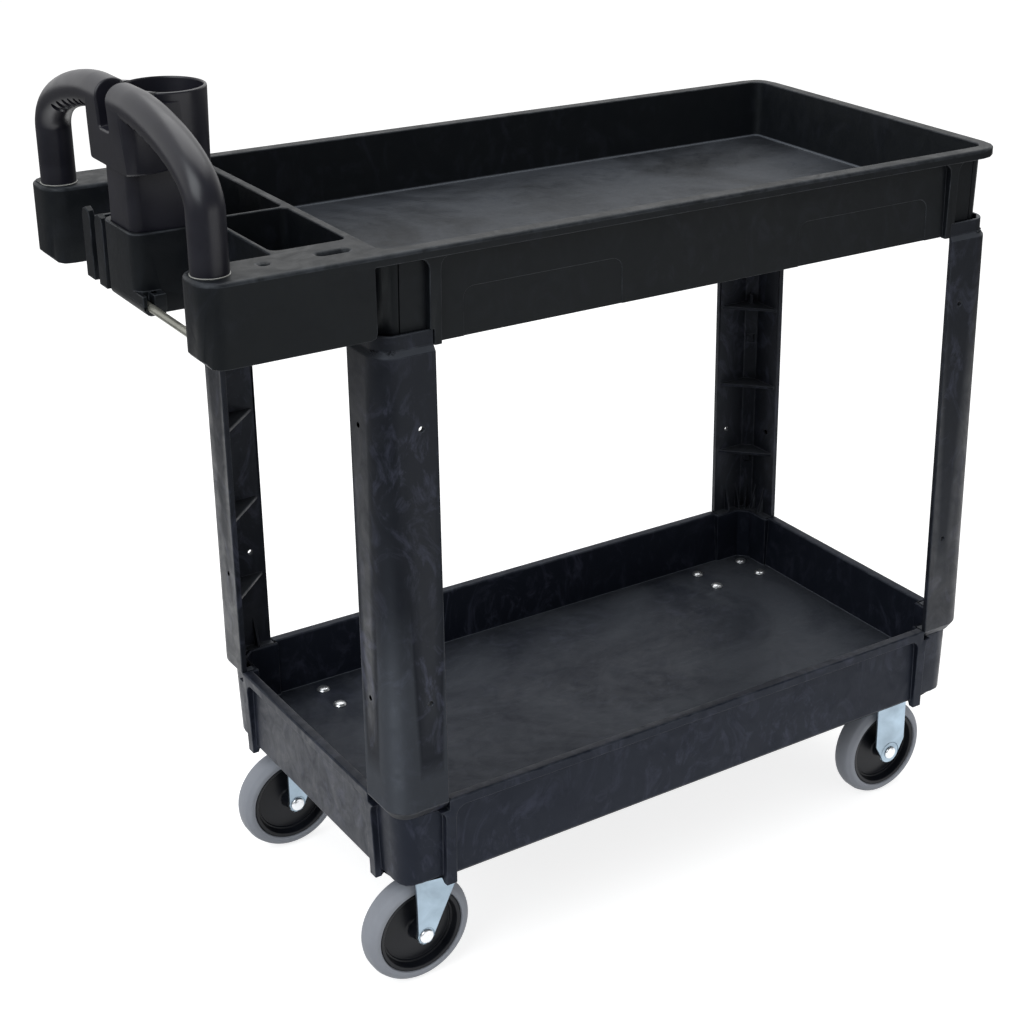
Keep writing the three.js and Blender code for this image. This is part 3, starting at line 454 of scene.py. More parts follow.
# colour, roughness, metallic, specular, spread of colour and grain of the others
PLAINS = {
    "handle_plastic": ((0.009, 0.009, 0.014), 0.33, 0.0, 0.44),
    "rod_metal": ((0.33, 0.33, 0.29), 0.42, 0.85),
    "zinc_steel": ((0.34, 0.43, 0.51), 0.34, 0.9, 0.5, 0.22),
    "bolt_steel": ((0.76, 0.78, 0.80), 0.3, 0.95, 0.5, 0.04, 0.02),
    # pale grey ring that paints the glint at the arms' sockets
    "socket_glint_grey": ((0.32, 0.32, 0.30), 0.45),
    "wheel_plastic": ((0.006, 0.007, 0.010), 0.36, 0.0, 0.22),
    "tread_rubber": ((0.28, 0.295, 0.33), 0.6, 0.0, 0.3, 0.06),
}
FINISHES = {}


def finish_of(name):
    """The material of that name, made once."""
    if name not in FINISHES:
        FINISHES[name] = structural_foam(name, *FOAMS[name]) if name in FOAMS else plain(name, *PLAINS[name])
    return FINISHES[name]


# ---------------------------------------------------------------- meshes, in millimetres until finished
def flattened(build):
    """Makes flat faces whole, and then triangles of an even shape."""
    bmesh.ops.dissolve_limit(build, angle_limit=FLAT, verts=build.verts, edges=build.edges)
    bmesh.ops.triangulate(build, faces=build.faces, ngon_method="BEAUTY")


def welded(node):
    """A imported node's solid, its loose triangles joined and its flat faces made whole."""
    build = bmesh.new()
    build.from_mesh(frame["nodes"][node].data)
    bmesh.ops.remove_doubles(build, verts=build.verts, dist=0.01 * MM)
    flattened(build)
    bmesh.ops.scale(build, vec=(1 / MM,) * 3, verts=build.verts)
    return build


def lofted(rings, capped=True):
    """A solid through closed rings of as many points each, with flat ends if it is capped."""
    build = bmesh.new()
    rows = [[build.verts.new(point) for point in ring] for ring in rings]
    for lower, upper in zip(rows, rows[1:]):
        for i in range(len(lower)):
            k = (i + 1) % len(lower)
            build.faces.new((lower[i], lower[k], upper[k], upper[i]))
    if capped:
        build.faces.new(rows[0])
        build.faces.new(rows[-1])
    bmesh.ops.remove_doubles(build, verts=build.verts, dist=MERGE)
    bmesh.ops.recalc_face_normals(build, faces=build.faces)
    return build


def turned(profile, segments, axis="Z", centre=(0.0, 0.0, 0.0)):
    """A closed turned solid from [radius, height] points about axis through centre."""
    rings = []
    for radius, height in profile:
        ring = []
        for i in range(segments):
            angle = 2 * math.pi * i / segments
            u, v = radius * math.cos(angle), radius * math.sin(angle)
            ring.append(Vector((u, v, height) if axis == "Z" else (u, height, v)) + Vector(centre))
        rings.append(ring)
    return lofted(rings, capped=False)


def bar(radius, start, end):
    """The profile of a plain round bar."""
    return [(0, start), (radius, start), (radius, end), (0, end)]


def swapped(build):
    """The solid with its x and y changed over."""
    for vertex in build.verts:
        vertex.co.x, vertex.co.y = vertex.co.y, vertex.co.x
    bmesh.ops.recalc_face_normals(build, faces=build.faces)
    return build


def rectangle(low, high):
    """The outline of a rectangle between two corners."""
    return [(low[0], low[1]), (high[0], low[1]), (high[0], high[1]), (low[0], high[1])]


def filleted(points, radii, steps=5, closed=True):
    """The outline with each corner rounded to its radius; 0 leaves a corner as it is."""
    rounded = []
    count = len(points)
    most = 0.49  # of a side, so that two roundings on it don't meet
    for i, corner in enumerate(points):
        radius = radii[i] if isinstance(radii, (list, tuple)) else radii
        if radius == 0 or (not closed and i in (0, count - 1)):
            rounded.append(tuple(corner))
            continue
        here = Vector(corner)
        back = Vector(points[i - 1]) - here
        on = Vector(points[(i + 1) % count]) - here
        half = back.angle(on) / 2
        reach = min(radius / math.tan(half), most * back.length, most * on.length)
        start = here + back.normalized() * reach
        end = here + on.normalized() * reach
        centre = here + (back.normalized() + on.normalized()).normalized() * (reach / math.cos(half))
        arm = start - centre
        sweep = arm.angle_signed(end - centre)
        for k in range(steps + 1):
            turn = Matrix.Rotation(-sweep * k / steps, 2)
            rounded.append(tuple(centre + turn @ arm))
    return rounded


def prism(outline, start, end, axis="Z"):
    """An outline carried along an axis: (x, y) up Z, (x, z) along Y or (y, z) along X."""
    build = bmesh.new()
    place = {"Z": (0, 1, 2), "Y": (0, 2, 1), "X": (2, 0, 1)}[axis]
    ends = [[build.verts.new([(a, b, h)[i] for i in place]) for a, b in outline] for h in (start, end)]
    build.faces.new(ends[0])
    build.faces.new(ends[1])
    for i in range(len(outline)):
        k = (i + 1) % len(outline)
        build.faces.new((ends[0][i], ends[0][k], ends[1][k], ends[1][i]))
    bmesh.ops.recalc_face_normals(build, faces=build.faces)
    return build


def joined(builds):
    """Several meshes as one, without a boolean."""
    whole = builds[0]
    for other in builds[1:]:
        mesh = bpy.data.meshes.new("part")
        other.to_mesh(mesh)
        other.free()
        whole.from_mesh(mesh)
        bpy.data.meshes.remove(mesh)
    return whole


def loose_object(build, name="part"):
    """An object of the mesh, which rides with nothing yet; the build is freed."""
    mesh = bpy.data.meshes.new(name)
    build.to_mesh(mesh)
    build.free()
    made = bpy.data.objects.new(name, mesh)
    bpy.context.scene.collection.objects.link(made)
    return made


def evaluated(made):
    """The object's mesh with its modifiers in it; the object is removed."""
    graph = bpy.context.evaluated_depsgraph_get()
    mesh = bpy.data.meshes.new_from_object(made.evaluated_get(graph))
    bpy.data.objects.remove(made)
    return mesh


def carved(body, steps):
    """body with each (operation, tool) done to it in turn, as exact booleans."""
    base = loose_object(body)
    tools = []
    for operation, tool in steps:
        tools.append(loose_object(tool, "tool"))
        modifier = base.modifiers.new("cut", "BOOLEAN")
        modifier.operation = operation
        modifier.solver = "EXACT"
        modifier.object = tools[-1]
    mesh = evaluated(base)
    for tool in tools:
        bpy.data.objects.remove(tool)
    build = bmesh.new()
    build.from_mesh(mesh)
    bpy.data.meshes.remove(mesh)
    bmesh.ops.remove_doubles(build, verts=build.verts, dist=10 * MERGE)
    return build


def to_metres(mesh):
    """The mesh, brought from millimetres to metres."""
    mesh.transform(Matrix.Scale(MM, 4))
    return mesh


def finished(name, build, *nodes, radius_of=None, segments=3, sharp=40.0, least=50.0, finish=None):
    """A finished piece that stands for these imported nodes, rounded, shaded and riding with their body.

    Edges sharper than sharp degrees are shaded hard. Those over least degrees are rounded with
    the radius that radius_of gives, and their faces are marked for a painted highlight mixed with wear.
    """
    weights = build.edges.layers.float.new("bevel_weight_edge")
    radii = {}
    for edge in build.edges:
        if len(edge.link_faces) == 2:
            angle = math.degrees(edge.calc_face_angle())
            edge.smooth = angle < sharp
            if radius_of is not None and angle > least:
                radii[edge] = radius_of(edge)
    widest = max(radii.values(), default=0.0)
    for edge, radius in radii.items():
        edge[weights] = radius / widest
    for face in build.faces:
        face.smooth = True
    made = loose_object(build, name)
    if widest > 0:
        bevel = made.modifiers.new("Rounding", "BEVEL")
        bevel.limit_method = "WEIGHT"
        bevel.width = widest
        bevel.segments = segments
        bevel.use_clamp_overlap = False
        bevel.miter_outer = "MITER_ARC"
        bevel.harden_normals = True
        bevel.loop_slide = False
        bevel.material = 1
        for _ in range(2):
            made.data.materials.append(None)
    else:
        made.modifiers.new("Shading", "WEIGHTED_NORMAL").keep_sharp = True
    mesh = to_metres(evaluated(made))
    mesh.name = name
    # these faces get the painted edge highlight mixed with wear
    wear_and_highlight_share = mesh.attributes.new(WEAR_AND_HIGHLIGHT, "FLOAT", "FACE")
    for face, share in zip(mesh.polygons, wear_and_highlight_share.data):
        share.value = float(face.material_index)
        face.material_index = 0
    return placed(name, mesh, finish or SLOT_OF[nodes[0]], nodes)


def placed(name, mesh, finish, nodes, replacing=True):
    """An object of the mesh, in its finish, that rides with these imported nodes' body and may replace them."""
    mesh.materials.clear()
    mesh.materials.append(finish_of(finish))
    made = bpy.data.objects.new(name, mesh)
    bpy.context.scene.collection.objects.link(made)
    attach(made, body_of(frame["nodes"][nodes[0]])[0])
    if replacing:
        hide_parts(*nodes)
    return made


# ---------------------------------------------------------------- pieces
class CART_OT_top_shelf(bpy.types.Operator):
    """Makes the top shelf with its rim, bins, horns, paddles and rod cradle"""

    bl_idname = "cart.top_shelf"
    bl_label = "Top shelf"

    # millimetres; heights are from the rim down
    near = 0.3  # counts as level with a height
    fine = 0.5  # radius in small places
    rim_inside = 1.6  # radius on the rim's inner edges
    horn_width = 60.0  # of each horn and of each corner post
    post_face = (7.9, 16.0)  # from the wall's outside in to a corner post
    post_heights = (11.0, 100.0)
    box_front, box_back = 10.0, 27.0  # of the centre box's lower edge, from the horns' tips
    box_low = 81.5  # its underside
    box_round = 15.0  # the radius on that edge

    def execute(self, context):
        settings = context.scene.cart_plastic
        wall = box_mm("bottom_shelf")  # the walls of both shelves stand in line
        tip, top = box_mm("top_shelf")
        rim = top.z
        floor = tip.z + FLOOR_RISE
        near = self.near
        arm = box_mm("handle")
        grip = context.scene.cart_handle.grip / 2

        def radius_of(edge):
            a, b = (v.co for v in edge.verts)
            middle = (a + b) / 2
            if math.hypot(middle.x - arm[0].x - grip, abs(middle.y) - arm[1].y + grip) < grip + 2:
                return self.fine
            if middle.x < tip.x + self.box_back and middle.z < rim - 64 and abs(middle.y) < 63:
                return 0.0 if middle.y > 39 else self.fine
            if min(a.z, b.z) > rim - near:
                outside = abs(middle.y) > wall[1].y + near or middle.x > wall[1].x + near
                horn = middle.x < wall[0].x and abs(middle.y) > wall[1].y - self.horn_width
                return settings.rim_radius if outside or horn else self.rim_inside
            post = self.post_face[0] < wall[1].y - abs(middle.y) < self.post_face[1]
            if post and self.post_heights[0] < rim - middle.z < self.post_heights[1]:
                inside = wall[0].x + self.horn_width < middle.x < wall[1].x - self.horn_width
                return self.fine if inside else 0.0
            corner = abs(max(a.z, b.z) - floor) < near and min(a.z, b.z) > floor - near
            return settings.floor_radius if corner else settings.edge_radius

        cuts = (self.frame_feet(*wall, rim), self.post_grooves(*wall, rim), self.box_edge(tip.x, rim))
        body = carved(welded("top_shelf"), [("DIFFERENCE", tool) for tool in cuts])
        finished("top_shelf_moulding", body, "top_shelf", radius_of=radius_of, finish="foam_top")
        return {"FINISHED"}

    def frame_feet(self, low, high, rim):
        """What is cut from the corner frames' feet, which stand off the legs' collars."""
        past = 5
        outline = rectangle((low.x - past, low.y - past), (high.x + past, high.y + past))
        return prism(outline, rim - 112, rim - 101.5)

    def box_edge(self, tip, rim):
        """What is cut from the centre box's lower front edge to round it."""
        radius = self.box_round
        front, bottom = tip + self.box_front, rim - self.box_low
        centre = (front + radius, bottom + radius)
        steps = 10
        turns = [QUARTER * k / steps for k in range(steps + 1)]
        arc = [(centre[0] - radius * math.cos(turn), centre[1] - radius * math.sin(turn)) for turn in turns]
        past = 1
        outside = [(centre[0], bottom - past), (front - past, bottom - past), (front - past, centre[1])]
        return prism([*arc, *outside], -56.0, 40.5, "Y")

    def post_grooves(self, low, high, rim):
        """The groove up each corner post, where its rounded corner meets its flat half."""
        cuts = []
        from_end = 31.0
        half = 0.6  # of the groove's width
        depth = 11.4  # of its floor at the top, from the wall's outside
        draft = 0.035  # of the post
        top, bottom = rim - 11.5, rim - 99
        for end in (low.x, high.x):
            middle = end + math.copysign(from_end, -end)
            for side in (-1, 1):
                outline = rectangle((middle - half, bottom), (middle + half, top))
                tool = prism(outline, high.y - 30, high.y - 7.6, "Y")
                for vertex in tool.verts:
                    if vertex.co.y < high.y - 20:
                        vertex.co.y = high.y - depth - draft * (top - vertex.co.z)
                    vertex.co.y *= side
                tool.normal_update()
                bmesh.ops.recalc_face_normals(tool, faces=tool.faces)
                cuts.append(tool)
        return joined(cuts)


class CART_OT_bottom_shelf(bpy.types.Operator):
    """Makes the bottom shelf with its leg pockets and corner frames"""

    bl_idname = "cart.bottom_shelf"
    bl_label = "Bottom shelf"

    # millimetres
    panel_inset = 8.75  # from the wall's outside in to the long panels
    relief = (0.5, 1.0)  # how much further in the panels' shallow relief lies
    rim_radius = 2.2
    post_height = 8.0  # from the shelf's underside up to the posts' lower edges
    post_reach = 13.5  # how far in from the wall those lie at most
    post_radius = 3.5

    def execute(self, context):
        settings = context.scene.cart_plastic
        low, high = box_mm("bottom_shelf")
        middle = (low + high) / 2
        half = (high - low) / 2
        build = welded("bottom_shelf")
        panel = high.y - self.panel_inset
        for vertex in build.verts:  # this shelf's panels are plain
            if self.relief[0] < panel - abs(vertex.co.y) < self.relief[1]:
                vertex.co.y = math.copysign(panel, vertex.co.y)
        bmesh.ops.remove_doubles(build, verts=build.verts, dist=20 * MERGE)
        flattened(build)

        def radius_of(edge):
            a, b = (v.co for v in edge.verts)
            if min(a.z, b.z) > high.z - 0.3:
                return self.rim_radius
            at = (a + b) / 2
            past = max(abs(at.x - middle.x) - half.x, abs(at.y) - high.y)
            level = abs(a.z - b.z) < 0.1 and abs(a.z - low.z - self.post_height) < 0.1
            return self.post_radius if level and past > -self.post_reach else settings.edge_radius

        finished("bottom_shelf_moulding", build, "bottom_shelf", radius_of=radius_of, finish="foam_low")
        return {"FINISHED"}


class CART_OT_legs(bpy.types.Operator):
    """Makes the four corner legs with their ribs, collars, tongues and bosses"""

    bl_idname = "cart.legs"
    bl_label = "Legs"

    # millimetres; heights are from the foot's shoulder up
    web_heights = (91.0, 191.0, 303.0)
    web_thick = 4.0
    boss_heights = (70.0, 249.0)
    boss_half, boss_height, boss_wall = 5.5, 11.0, 1.2
    peg_height = 306.5
    hole_heights = (124.0, 428.0)
    hole_radius, hole_from_edge = 3.0, 18.5
    fin_half = 1.5

    def execute(self, context):
        radius = context.scene.cart_plastic.edge_radius
        self.low, self.high = box_mm("leg_rear_right")
        self.foot = box_mm("bottom_shelf")[1].z - 1.5
        self.head = self.high.z - 21.0
        self.flange = self.high.x - self.low.x
        whole = bpy.data.meshes.new("leg")
        template = self.template()
        template.to_mesh(whole)
        template.free()
        for end in ("rear", "front"):
            for side in SIDES:
                node = f"leg_{end}_{side}"
                low, high = box_mm(node)
                build = bmesh.new()
                build.from_mesh(whole)
                for vertex in build.verts:
                    vertex.co.x = high.x - vertex.co.x if end == "front" else low.x + vertex.co.x
                    vertex.co.y = high.y - vertex.co.y if side == "left" else low.y + vertex.co.y
                bmesh.ops.recalc_face_normals(build, faces=build.faces)
                finished(
                    f"{node}_moulding",
                    build,
                    node,
                    radius_of=lambda edge: radius,
                    least=32.0,
                    sharp=30.0,
                    finish="foam_legs",
                )
        return {"FINISHED"}

    def section(self, outer, radius, inner):
        """The leg's section with its corner at the origin: two flanges that face outer on the outside.

        The corner is rounded where radius is positive and cut at 45 degrees where it is
        negative. The inside has a 45 degree face between the flanges, which end at inner.
        """
        end = self.flange
        centre = outer + abs(radius)
        steps = 12
        points = [(end, outer)]
        for k in range(steps + 1):
            turn = QUARTER * k / steps
            if radius > 0:
                points.append((centre - radius * math.sin(turn), centre - radius * math.cos(turn)))
            else:
                points.append((centre + radius * k / steps, outer - radius * k / steps))
        return points + [(outer, end), (inner, end), (inner, inner + 12), (inner + 12, inner), (end, inner)]

    def template(self):
        """One leg, its corner at the origin and its flanges along x and y."""
        foot, head = self.foot, self.head
        tongue, collar = foot - 11.0, head + 6.0
        wide, narrow, lining = 16.5, 6.5, 8.5  # inside of the shoulder, the leg and the collar
        levels = [  # height, then outer, radius and inner of the section
            (self.low.z, 13.3, -12.0, wide),
            (tongue, 13.3, -12.0, wide),
            (tongue, 7.75, 18.25, wide),
            (foot, 0.0, 26.0, wide),
            (foot + 1.0, 0.0, 26.0, wide),
            (foot + 1.0, 0.0, 26.0, narrow),
            (head, 0.0, 26.0, narrow),
            (collar, 4.5, 21.5, narrow),
            (collar, 4.5, 21.5, lining),
            (self.high.z, 4.5, 21.5, lining),
        ]
        build = lofted([[(u, v, z) for u, v in self.section(*sizes)] for z, *sizes in levels])
        steps = [("UNION", solid) for solid in self.stiffeners()]
        profile = bar(self.hole_radius, -1, 8)
        for height in self.hole_heights:
            for swap in (False, True):
                hole = turned(profile, 20, "Y", (self.flange - self.hole_from_edge, 0.0, foot + height))
                steps.append(("DIFFERENCE", swapped(hole) if swap else hole))
        return carved(build, steps)

    def stiffeners(self):
        """Webs across the leg, square bosses and a peg in its corner, and the fins above its tongue."""
        foot = self.foot
        edge = self.flange - 4.0
        near, far = 5.5, 17.5
        web = [(near, edge), (near, far), (far, near), (edge, near)]
        solids = [prism(web, foot + h, foot + h + self.web_thick) for h in self.web_heights]
        solids.append(prism(web, self.head + 0.7, self.head + 5.7))
        inside = Matrix.Translation((12.5, 12.5, 0.0)) @ Matrix.Rotation(-math.pi / 4, 4, "Z")
        shapes = []
        half, wall = self.boss_half, self.boss_wall
        between = half - wall + 0.1
        for height in self.boss_heights:
            low = foot + height
            for start in (-half, half - wall):
                outline = rectangle((start, -1), (start + wall, wall))
                shapes.append(prism(outline, low, low + self.boss_height))
            for start in (low, low + self.boss_height - wall):
                shapes.append(prism(rectangle((-between, -1), (between, wall)), start, start + wall))
        peg = turned([(0, 0), (4.5, 0), (2.2, 14.0), (0, 14.0)], 16, "Z", (0.0, 6.0, foot + self.peg_height))
        fin = [(-1.0, foot), (10.0, foot), (10.0, foot + 6.0), (-1.0, foot + 42.0)]
        for shape in (*shapes, peg, prism(fin, -self.fin_half, self.fin_half, "X")):
            bmesh.ops.transform(shape, matrix=inside, verts=shape.verts)
            solids.append(shape)
        fin = [(near, foot), (16.5, foot), (16.5, foot + 5.0), (near, foot + 42.0)]
        for setback in (20.0, 38.0):
            across = self.flange - setback
            for swap in (False, True):
                solid = prism(fin, across - self.fin_half, across + self.fin_half, "X")
                solids.append(swapped(solid) if swap else solid)
        return solids


class CART_OT_handle(bpy.types.Operator):
    """Makes the handle: two bent arms, the column and its head, the cup and the finger pockets"""

    bl_idname = "cart.handle"
    bl_label = "Handle"

    # millimetres; heights are from the deck's rim up
    seam = 0.3  # where the column and the cup stand on the deck
    column_front = 9.5  # from the arms' front back to the column's
    column_half, column_round = 32.5, 12.0
    head_low = 59.0
    head_half, head_round = 52.0, 15.0
    saddle_half, saddle_drop = 34.0, 5.0
    slot_half, slot_floor, lip_low = 12.5, 98.0, 88.0
    cup_height = 132.0
    arm_sides, bend_steps = 40, 36
    pocket_first, pocket_pitch = 20.0, 17.5  # along the bend from its crown end
    pocket_lean = 36.0  # degrees to each side of straight in
    pocket_radii = (5.2, 8.2, 8.0)

    def execute(self, context):
        self.settings = context.scene.cart_handle
        self.low, self.high = box_mm("handle")
        self.grip = self.settings.grip / 2
        self.arm_x = self.low.x + self.grip
        self.arm_y = self.high.y - self.grip
        self.crown = self.high.z - self.grip
        self.cup_x = self.high.x - self.settings.cup_radius
        self.rim = box_mm("top_shelf")[1].z
        body = carved(self.arms(), [("UNION", solid) for solid in (self.column(), self.head(), self.cup())])
        cuts = [("DIFFERENCE", tool) for tool in (self.cup_room(), self.mug_slot(), self.pockets())]

        def radius_of(edge):
            a, b = (v.co for v in edge.verts)
            side = max(abs(abs(a.y) - self.slot_half), abs(abs(b.y) - self.slot_half)) < 0.05
            lip = side and min(a.z, b.z) > self.rim + self.lip_low
            return 2.5 if lip and max(a.x, b.x) < self.arm_x + self.grip else 0.0

        finished("handle_moulding", carved(body, cuts), "handle", radius_of=radius_of, sharp=38.0)
        self.socket_glints()
        return {"FINISHED"}

    def socket_glints(self):
        """The pale ring round each arm where it enters its socket, a painted glint."""
        inner, outer = self.grip - 0.3, self.grip + 0.7
        low = self.rim - 0.6
        section = [(inner, low), (outer, low), (outer, self.rim + 0.5), (inner, self.rim + 0.8), (inner, low)]
        glint_rings = [turned(section, 48, "Z", (self.arm_x, side * self.arm_y, 0.0)) for side in (-1, 1)]
        mesh = to_metres(evaluated(loose_object(joined(glint_rings))))
        placed("arm_seat_beads", mesh, "socket_glint_grey", ["handle"], replacing=False)

    def bend(self, side, count):
        """Points on the bend of one arm, from its shoulder to the crown."""
        shoulder = self.crown - self.settings.drop
        along, up = self.settings.pulls
        knots = (
            (self.arm_x, side * self.arm_y, shoulder),
            (self.arm_x, side * self.arm_y, shoulder + up),
            (self.arm_x, side * (self.settings.flat + along), self.crown),
            (self.arm_x, side * self.settings.flat, self.crown),
        )
        return [Vector(p) for p in interpolate_bezier(*(Vector(k) for k in knots), count)]

    def arms(self):
        """Both arms as one bent round bar, from socket to socket."""
        foot = Vector((self.arm_x, self.arm_y, self.low.z))
        half = [foot, Vector((self.arm_x, self.arm_y, (self.low.z + self.crown - self.settings.drop) / 2))]
        half += self.bend(1, self.bend_steps)
        path = half + [Vector((p.x, -p.y, p.z)) for p in reversed(half)]
        turns = [2 * math.pi * k / self.arm_sides for k in range(self.arm_sides)]
        rings = []
        for i, point in enumerate(path):
            along = (path[min(i + 1, len(path) - 1)] - path[max(i - 1, 0)]).normalized()
            across = along.cross(Vector((1.0, 0.0, 0.0)))
            outs = [Vector((math.cos(turn), 0.0, 0.0)) + across * math.sin(turn) for turn in turns]
            rings.append([point + out * self.grip for out in outs])
        return lofted(rings)

    def upright_block(self, front, half, back, corner, low, high, bevel=0.0):
        """An upright block with rounded front corners; back is [(place, half width)] from there on."""
        outline = [(front, half), *back]
        outline = [(x, -y) for x, y in reversed(outline)] + outline
        radii = [corner if x == front else 0 for x, _ in outline]
        build = prism(filleted(outline, radii, 8), low, high)
        if bevel > 0:
            edges = [e for e in build.edges if all(abs(v.co.z - low) < 0.01 for v in e.verts)]
            bmesh.ops.bevel(build, geom=edges, offset=bevel, segments=3, profile=0.5, affect="EDGES")
        return build

    def column(self):
        """The column's plug in the centre box, and its shaft, whose sides run out to the cup."""
        front = self.low.x + self.column_front
        base = self.rim + self.seam
        half, corner = self.column_half, self.column_round
        plug = self.upright_block(front, half, [(self.cup_x, half)], corner, self.low.z, base + 1)
        high = self.rim + self.head_low + 1
        shaft = self.upright_block(front, half, [(self.cup_x, 38.6)], corner, base, high)
        return carved(plug, [("UNION", shaft)])

    def head(self):
        """The head: its front runs up into the arms, and behind them a low saddle joins it to the cup."""
        front = self.low.x + 0.2
        base = self.rim + self.head_low
        half, saddle = self.head_half, self.saddle_half
        back = [(self.arm_x + 12, half), (self.cup_x, 40.2)]
        block = self.upright_block(front, half, back, self.head_round, base, self.crown, bevel=2.5)
        behind = self.cup_x + 1
        side = [(front + 3.5, base - 1), (front, self.crown), (behind, self.crown), (behind, base - 1)]
        lower = carved(block, [("INTERSECT", prism(side, -60, 60, "Y"))])
        top = self.high.z - self.saddle_drop
        low = self.crown - 5
        side = [(self.arm_x, low), (self.arm_x, top), (behind, top - 7), (behind, low)]
        return carved(lower, [("UNION", prism(side, -saddle, saddle, "Y"))])

    def cup(self):
        """The cup's outside, which widens a little towards its rim."""
        outer = self.settings.cup_radius
        low, high = self.rim + self.seam, self.rim + self.cup_height
        wall = [(0.0, low), (outer - 3.0, low), (outer, high), (0.0, high)]
        return turned(filleted(wall, [0, 1.0, 1.7, 0], 4, False), 96, "Z", (self.cup_x, 0.0, 0.0))

    def cup_room(self):
        """The room inside the cup, which flares at its rim."""
        outer = self.settings.cup_radius
        floor, rim = self.rim + 14, self.rim + self.cup_height
        room = [(0.0, floor), (outer - 6.5, floor), (outer - 3.5, rim - 2)]
        flare = [(outer - 3.4, rim - 1.0), (outer - 2.6, rim), (outer - 2.6, rim + 40), (0.0, rim + 40)]
        return turned(filleted(room, [0, 6.0, 0], 5, False) + flare, 96, "Z", (self.cup_x, 0.0, 0.0))

    def mug_slot(self):
        """The slot that runs from the head's front into the cup, and falls towards the front."""
        floor = self.rim + self.slot_floor
        front = self.low.x - 20
        shape = [(front, floor - 6), (self.cup_x, floor + 6), (self.cup_x, floor + 80), (front, floor + 80)]
        return prism(shape, -self.slot_half, self.slot_half, "Y")

    def pockets(self):
        """Two slanting rows of finger pockets under each arm, as one cutter."""
        scoops = []
        for side in (-1, 1):
            points = self.bend(side, 200)
            lengths = [0.0]
            for a, b in zip(points, points[1:]):
                lengths.append(lengths[-1] + (b - a).length)
            for i in range(self.settings.pockets):
                at = lengths[-1] - self.pocket_first - self.pocket_pitch * i
                k = next(k for k, length in enumerate(lengths) if length >= at)
                along = (points[k] - points[k - 1]).normalized()
                inward = Vector((0.0, -side * abs(along.z), -abs(along.y)))
                for row in (-1, 1):
                    axis = Matrix.Rotation(math.radians(self.pocket_lean * row), 3, along) @ inward
                    middle = points[k] + axis * (self.grip + 1.0)
                    turn = Matrix((along, axis.cross(along), axis)).transposed().to_4x4()
                    scoop = bmesh.new()
                    bmesh.ops.create_uvsphere(scoop, u_segments=20, v_segments=12, radius=1.0)
                    shape = Matrix.Translation(middle) @ turn @ Matrix.Diagonal((*self.pocket_radii, 1.0))
                    bmesh.ops.transform(scoop, matrix=shape, verts=scoop.verts)
                    scoops.append(scoop)
        return joined(scoops)


class CART_OT_hanger_rod(bpy.types.Operator):
    """Makes the rod that tools hang from"""

    bl_idname = "cart.hanger_rod"
    bl_label = "Hanger rod"

    def execute(self, context):
        low, high = box_mm("hanger_rod")
        profile = filleted(bar((high.z - low.z) / 2, low.y, high.y), [0, 0.6, 0.6, 0], 3, False)
        rod = turned(profile, 32, "Y", axis_mm("hanger_rod", "Y"))
        finished("hanger_rod_bar", rod, "hanger_rod")
        return {"FINISHED"}


class CART_OT_caster_mounts(bpy.types.Operator):
    """Makes the swivel plates, ball races and king pins"""

    bl_idname = "cart.caster_mounts"
    bl_label = "Caster mounts"

    def execute(self, context):
        for side in SIDES:
            name = f"swivel_rear_{side}"
            plate = f"{name}_plate"
            finished(f"{plate}_steel", welded(plate), plate, radius_of=lambda edge: 0.5, segments=2)
            self.make_race(f"{name}_ball_race")
            self.make_pin(f"{name}_king_pin")
        return {"FINISHED"}

    def make_race(self, node):
        low, high = box_mm(node)
        bore, outer = 5.25, (high.x - low.x) / 2
        middle = (low.z + high.z) / 2
        groove = outer - 2.5
        corner = 1.2
        profile = [
            (bore, low.z),
            (groove, low.z),
            (outer, low.z + corner),
            (outer, middle - 1.0),
            (groove, middle - 0.6),
            (groove, middle + 0.6),
            (outer, middle + 1.0),
            (outer, high.z - corner),
            (outer - corner, high.z),
            (bore, high.z),
        ]
        rounded = filleted(profile, [0, 0.8, 0.6, 0.3, 0.3, 0.3, 0.3, 0.6, 0.6, 0], 3, False)
        race = turned([*rounded, rounded[0]], 64, "Z", axis_mm(node, "Z"))
        finished(f"{node}_steel", race, node)

    def make_pin(self, node):
        low, high = box_mm(node)
        shank, head = 5.0, (high.x - low.x) / 2
        under = low.z + 5
        cap = [(0, low.z), (head * 0.75, low.z), (head, low.z + 2.2), (head, under)]
        profile = [*cap, *bar(shank, under, high.z)[1:]]
        rounded = filleted(profile, [0, 1.2, 1.0, 0.3, 0, 0.6, 0], 3, False)
        finished(f"{node}_steel", turned(rounded, 40, "Z", axis_mm(node, "Z")), node)


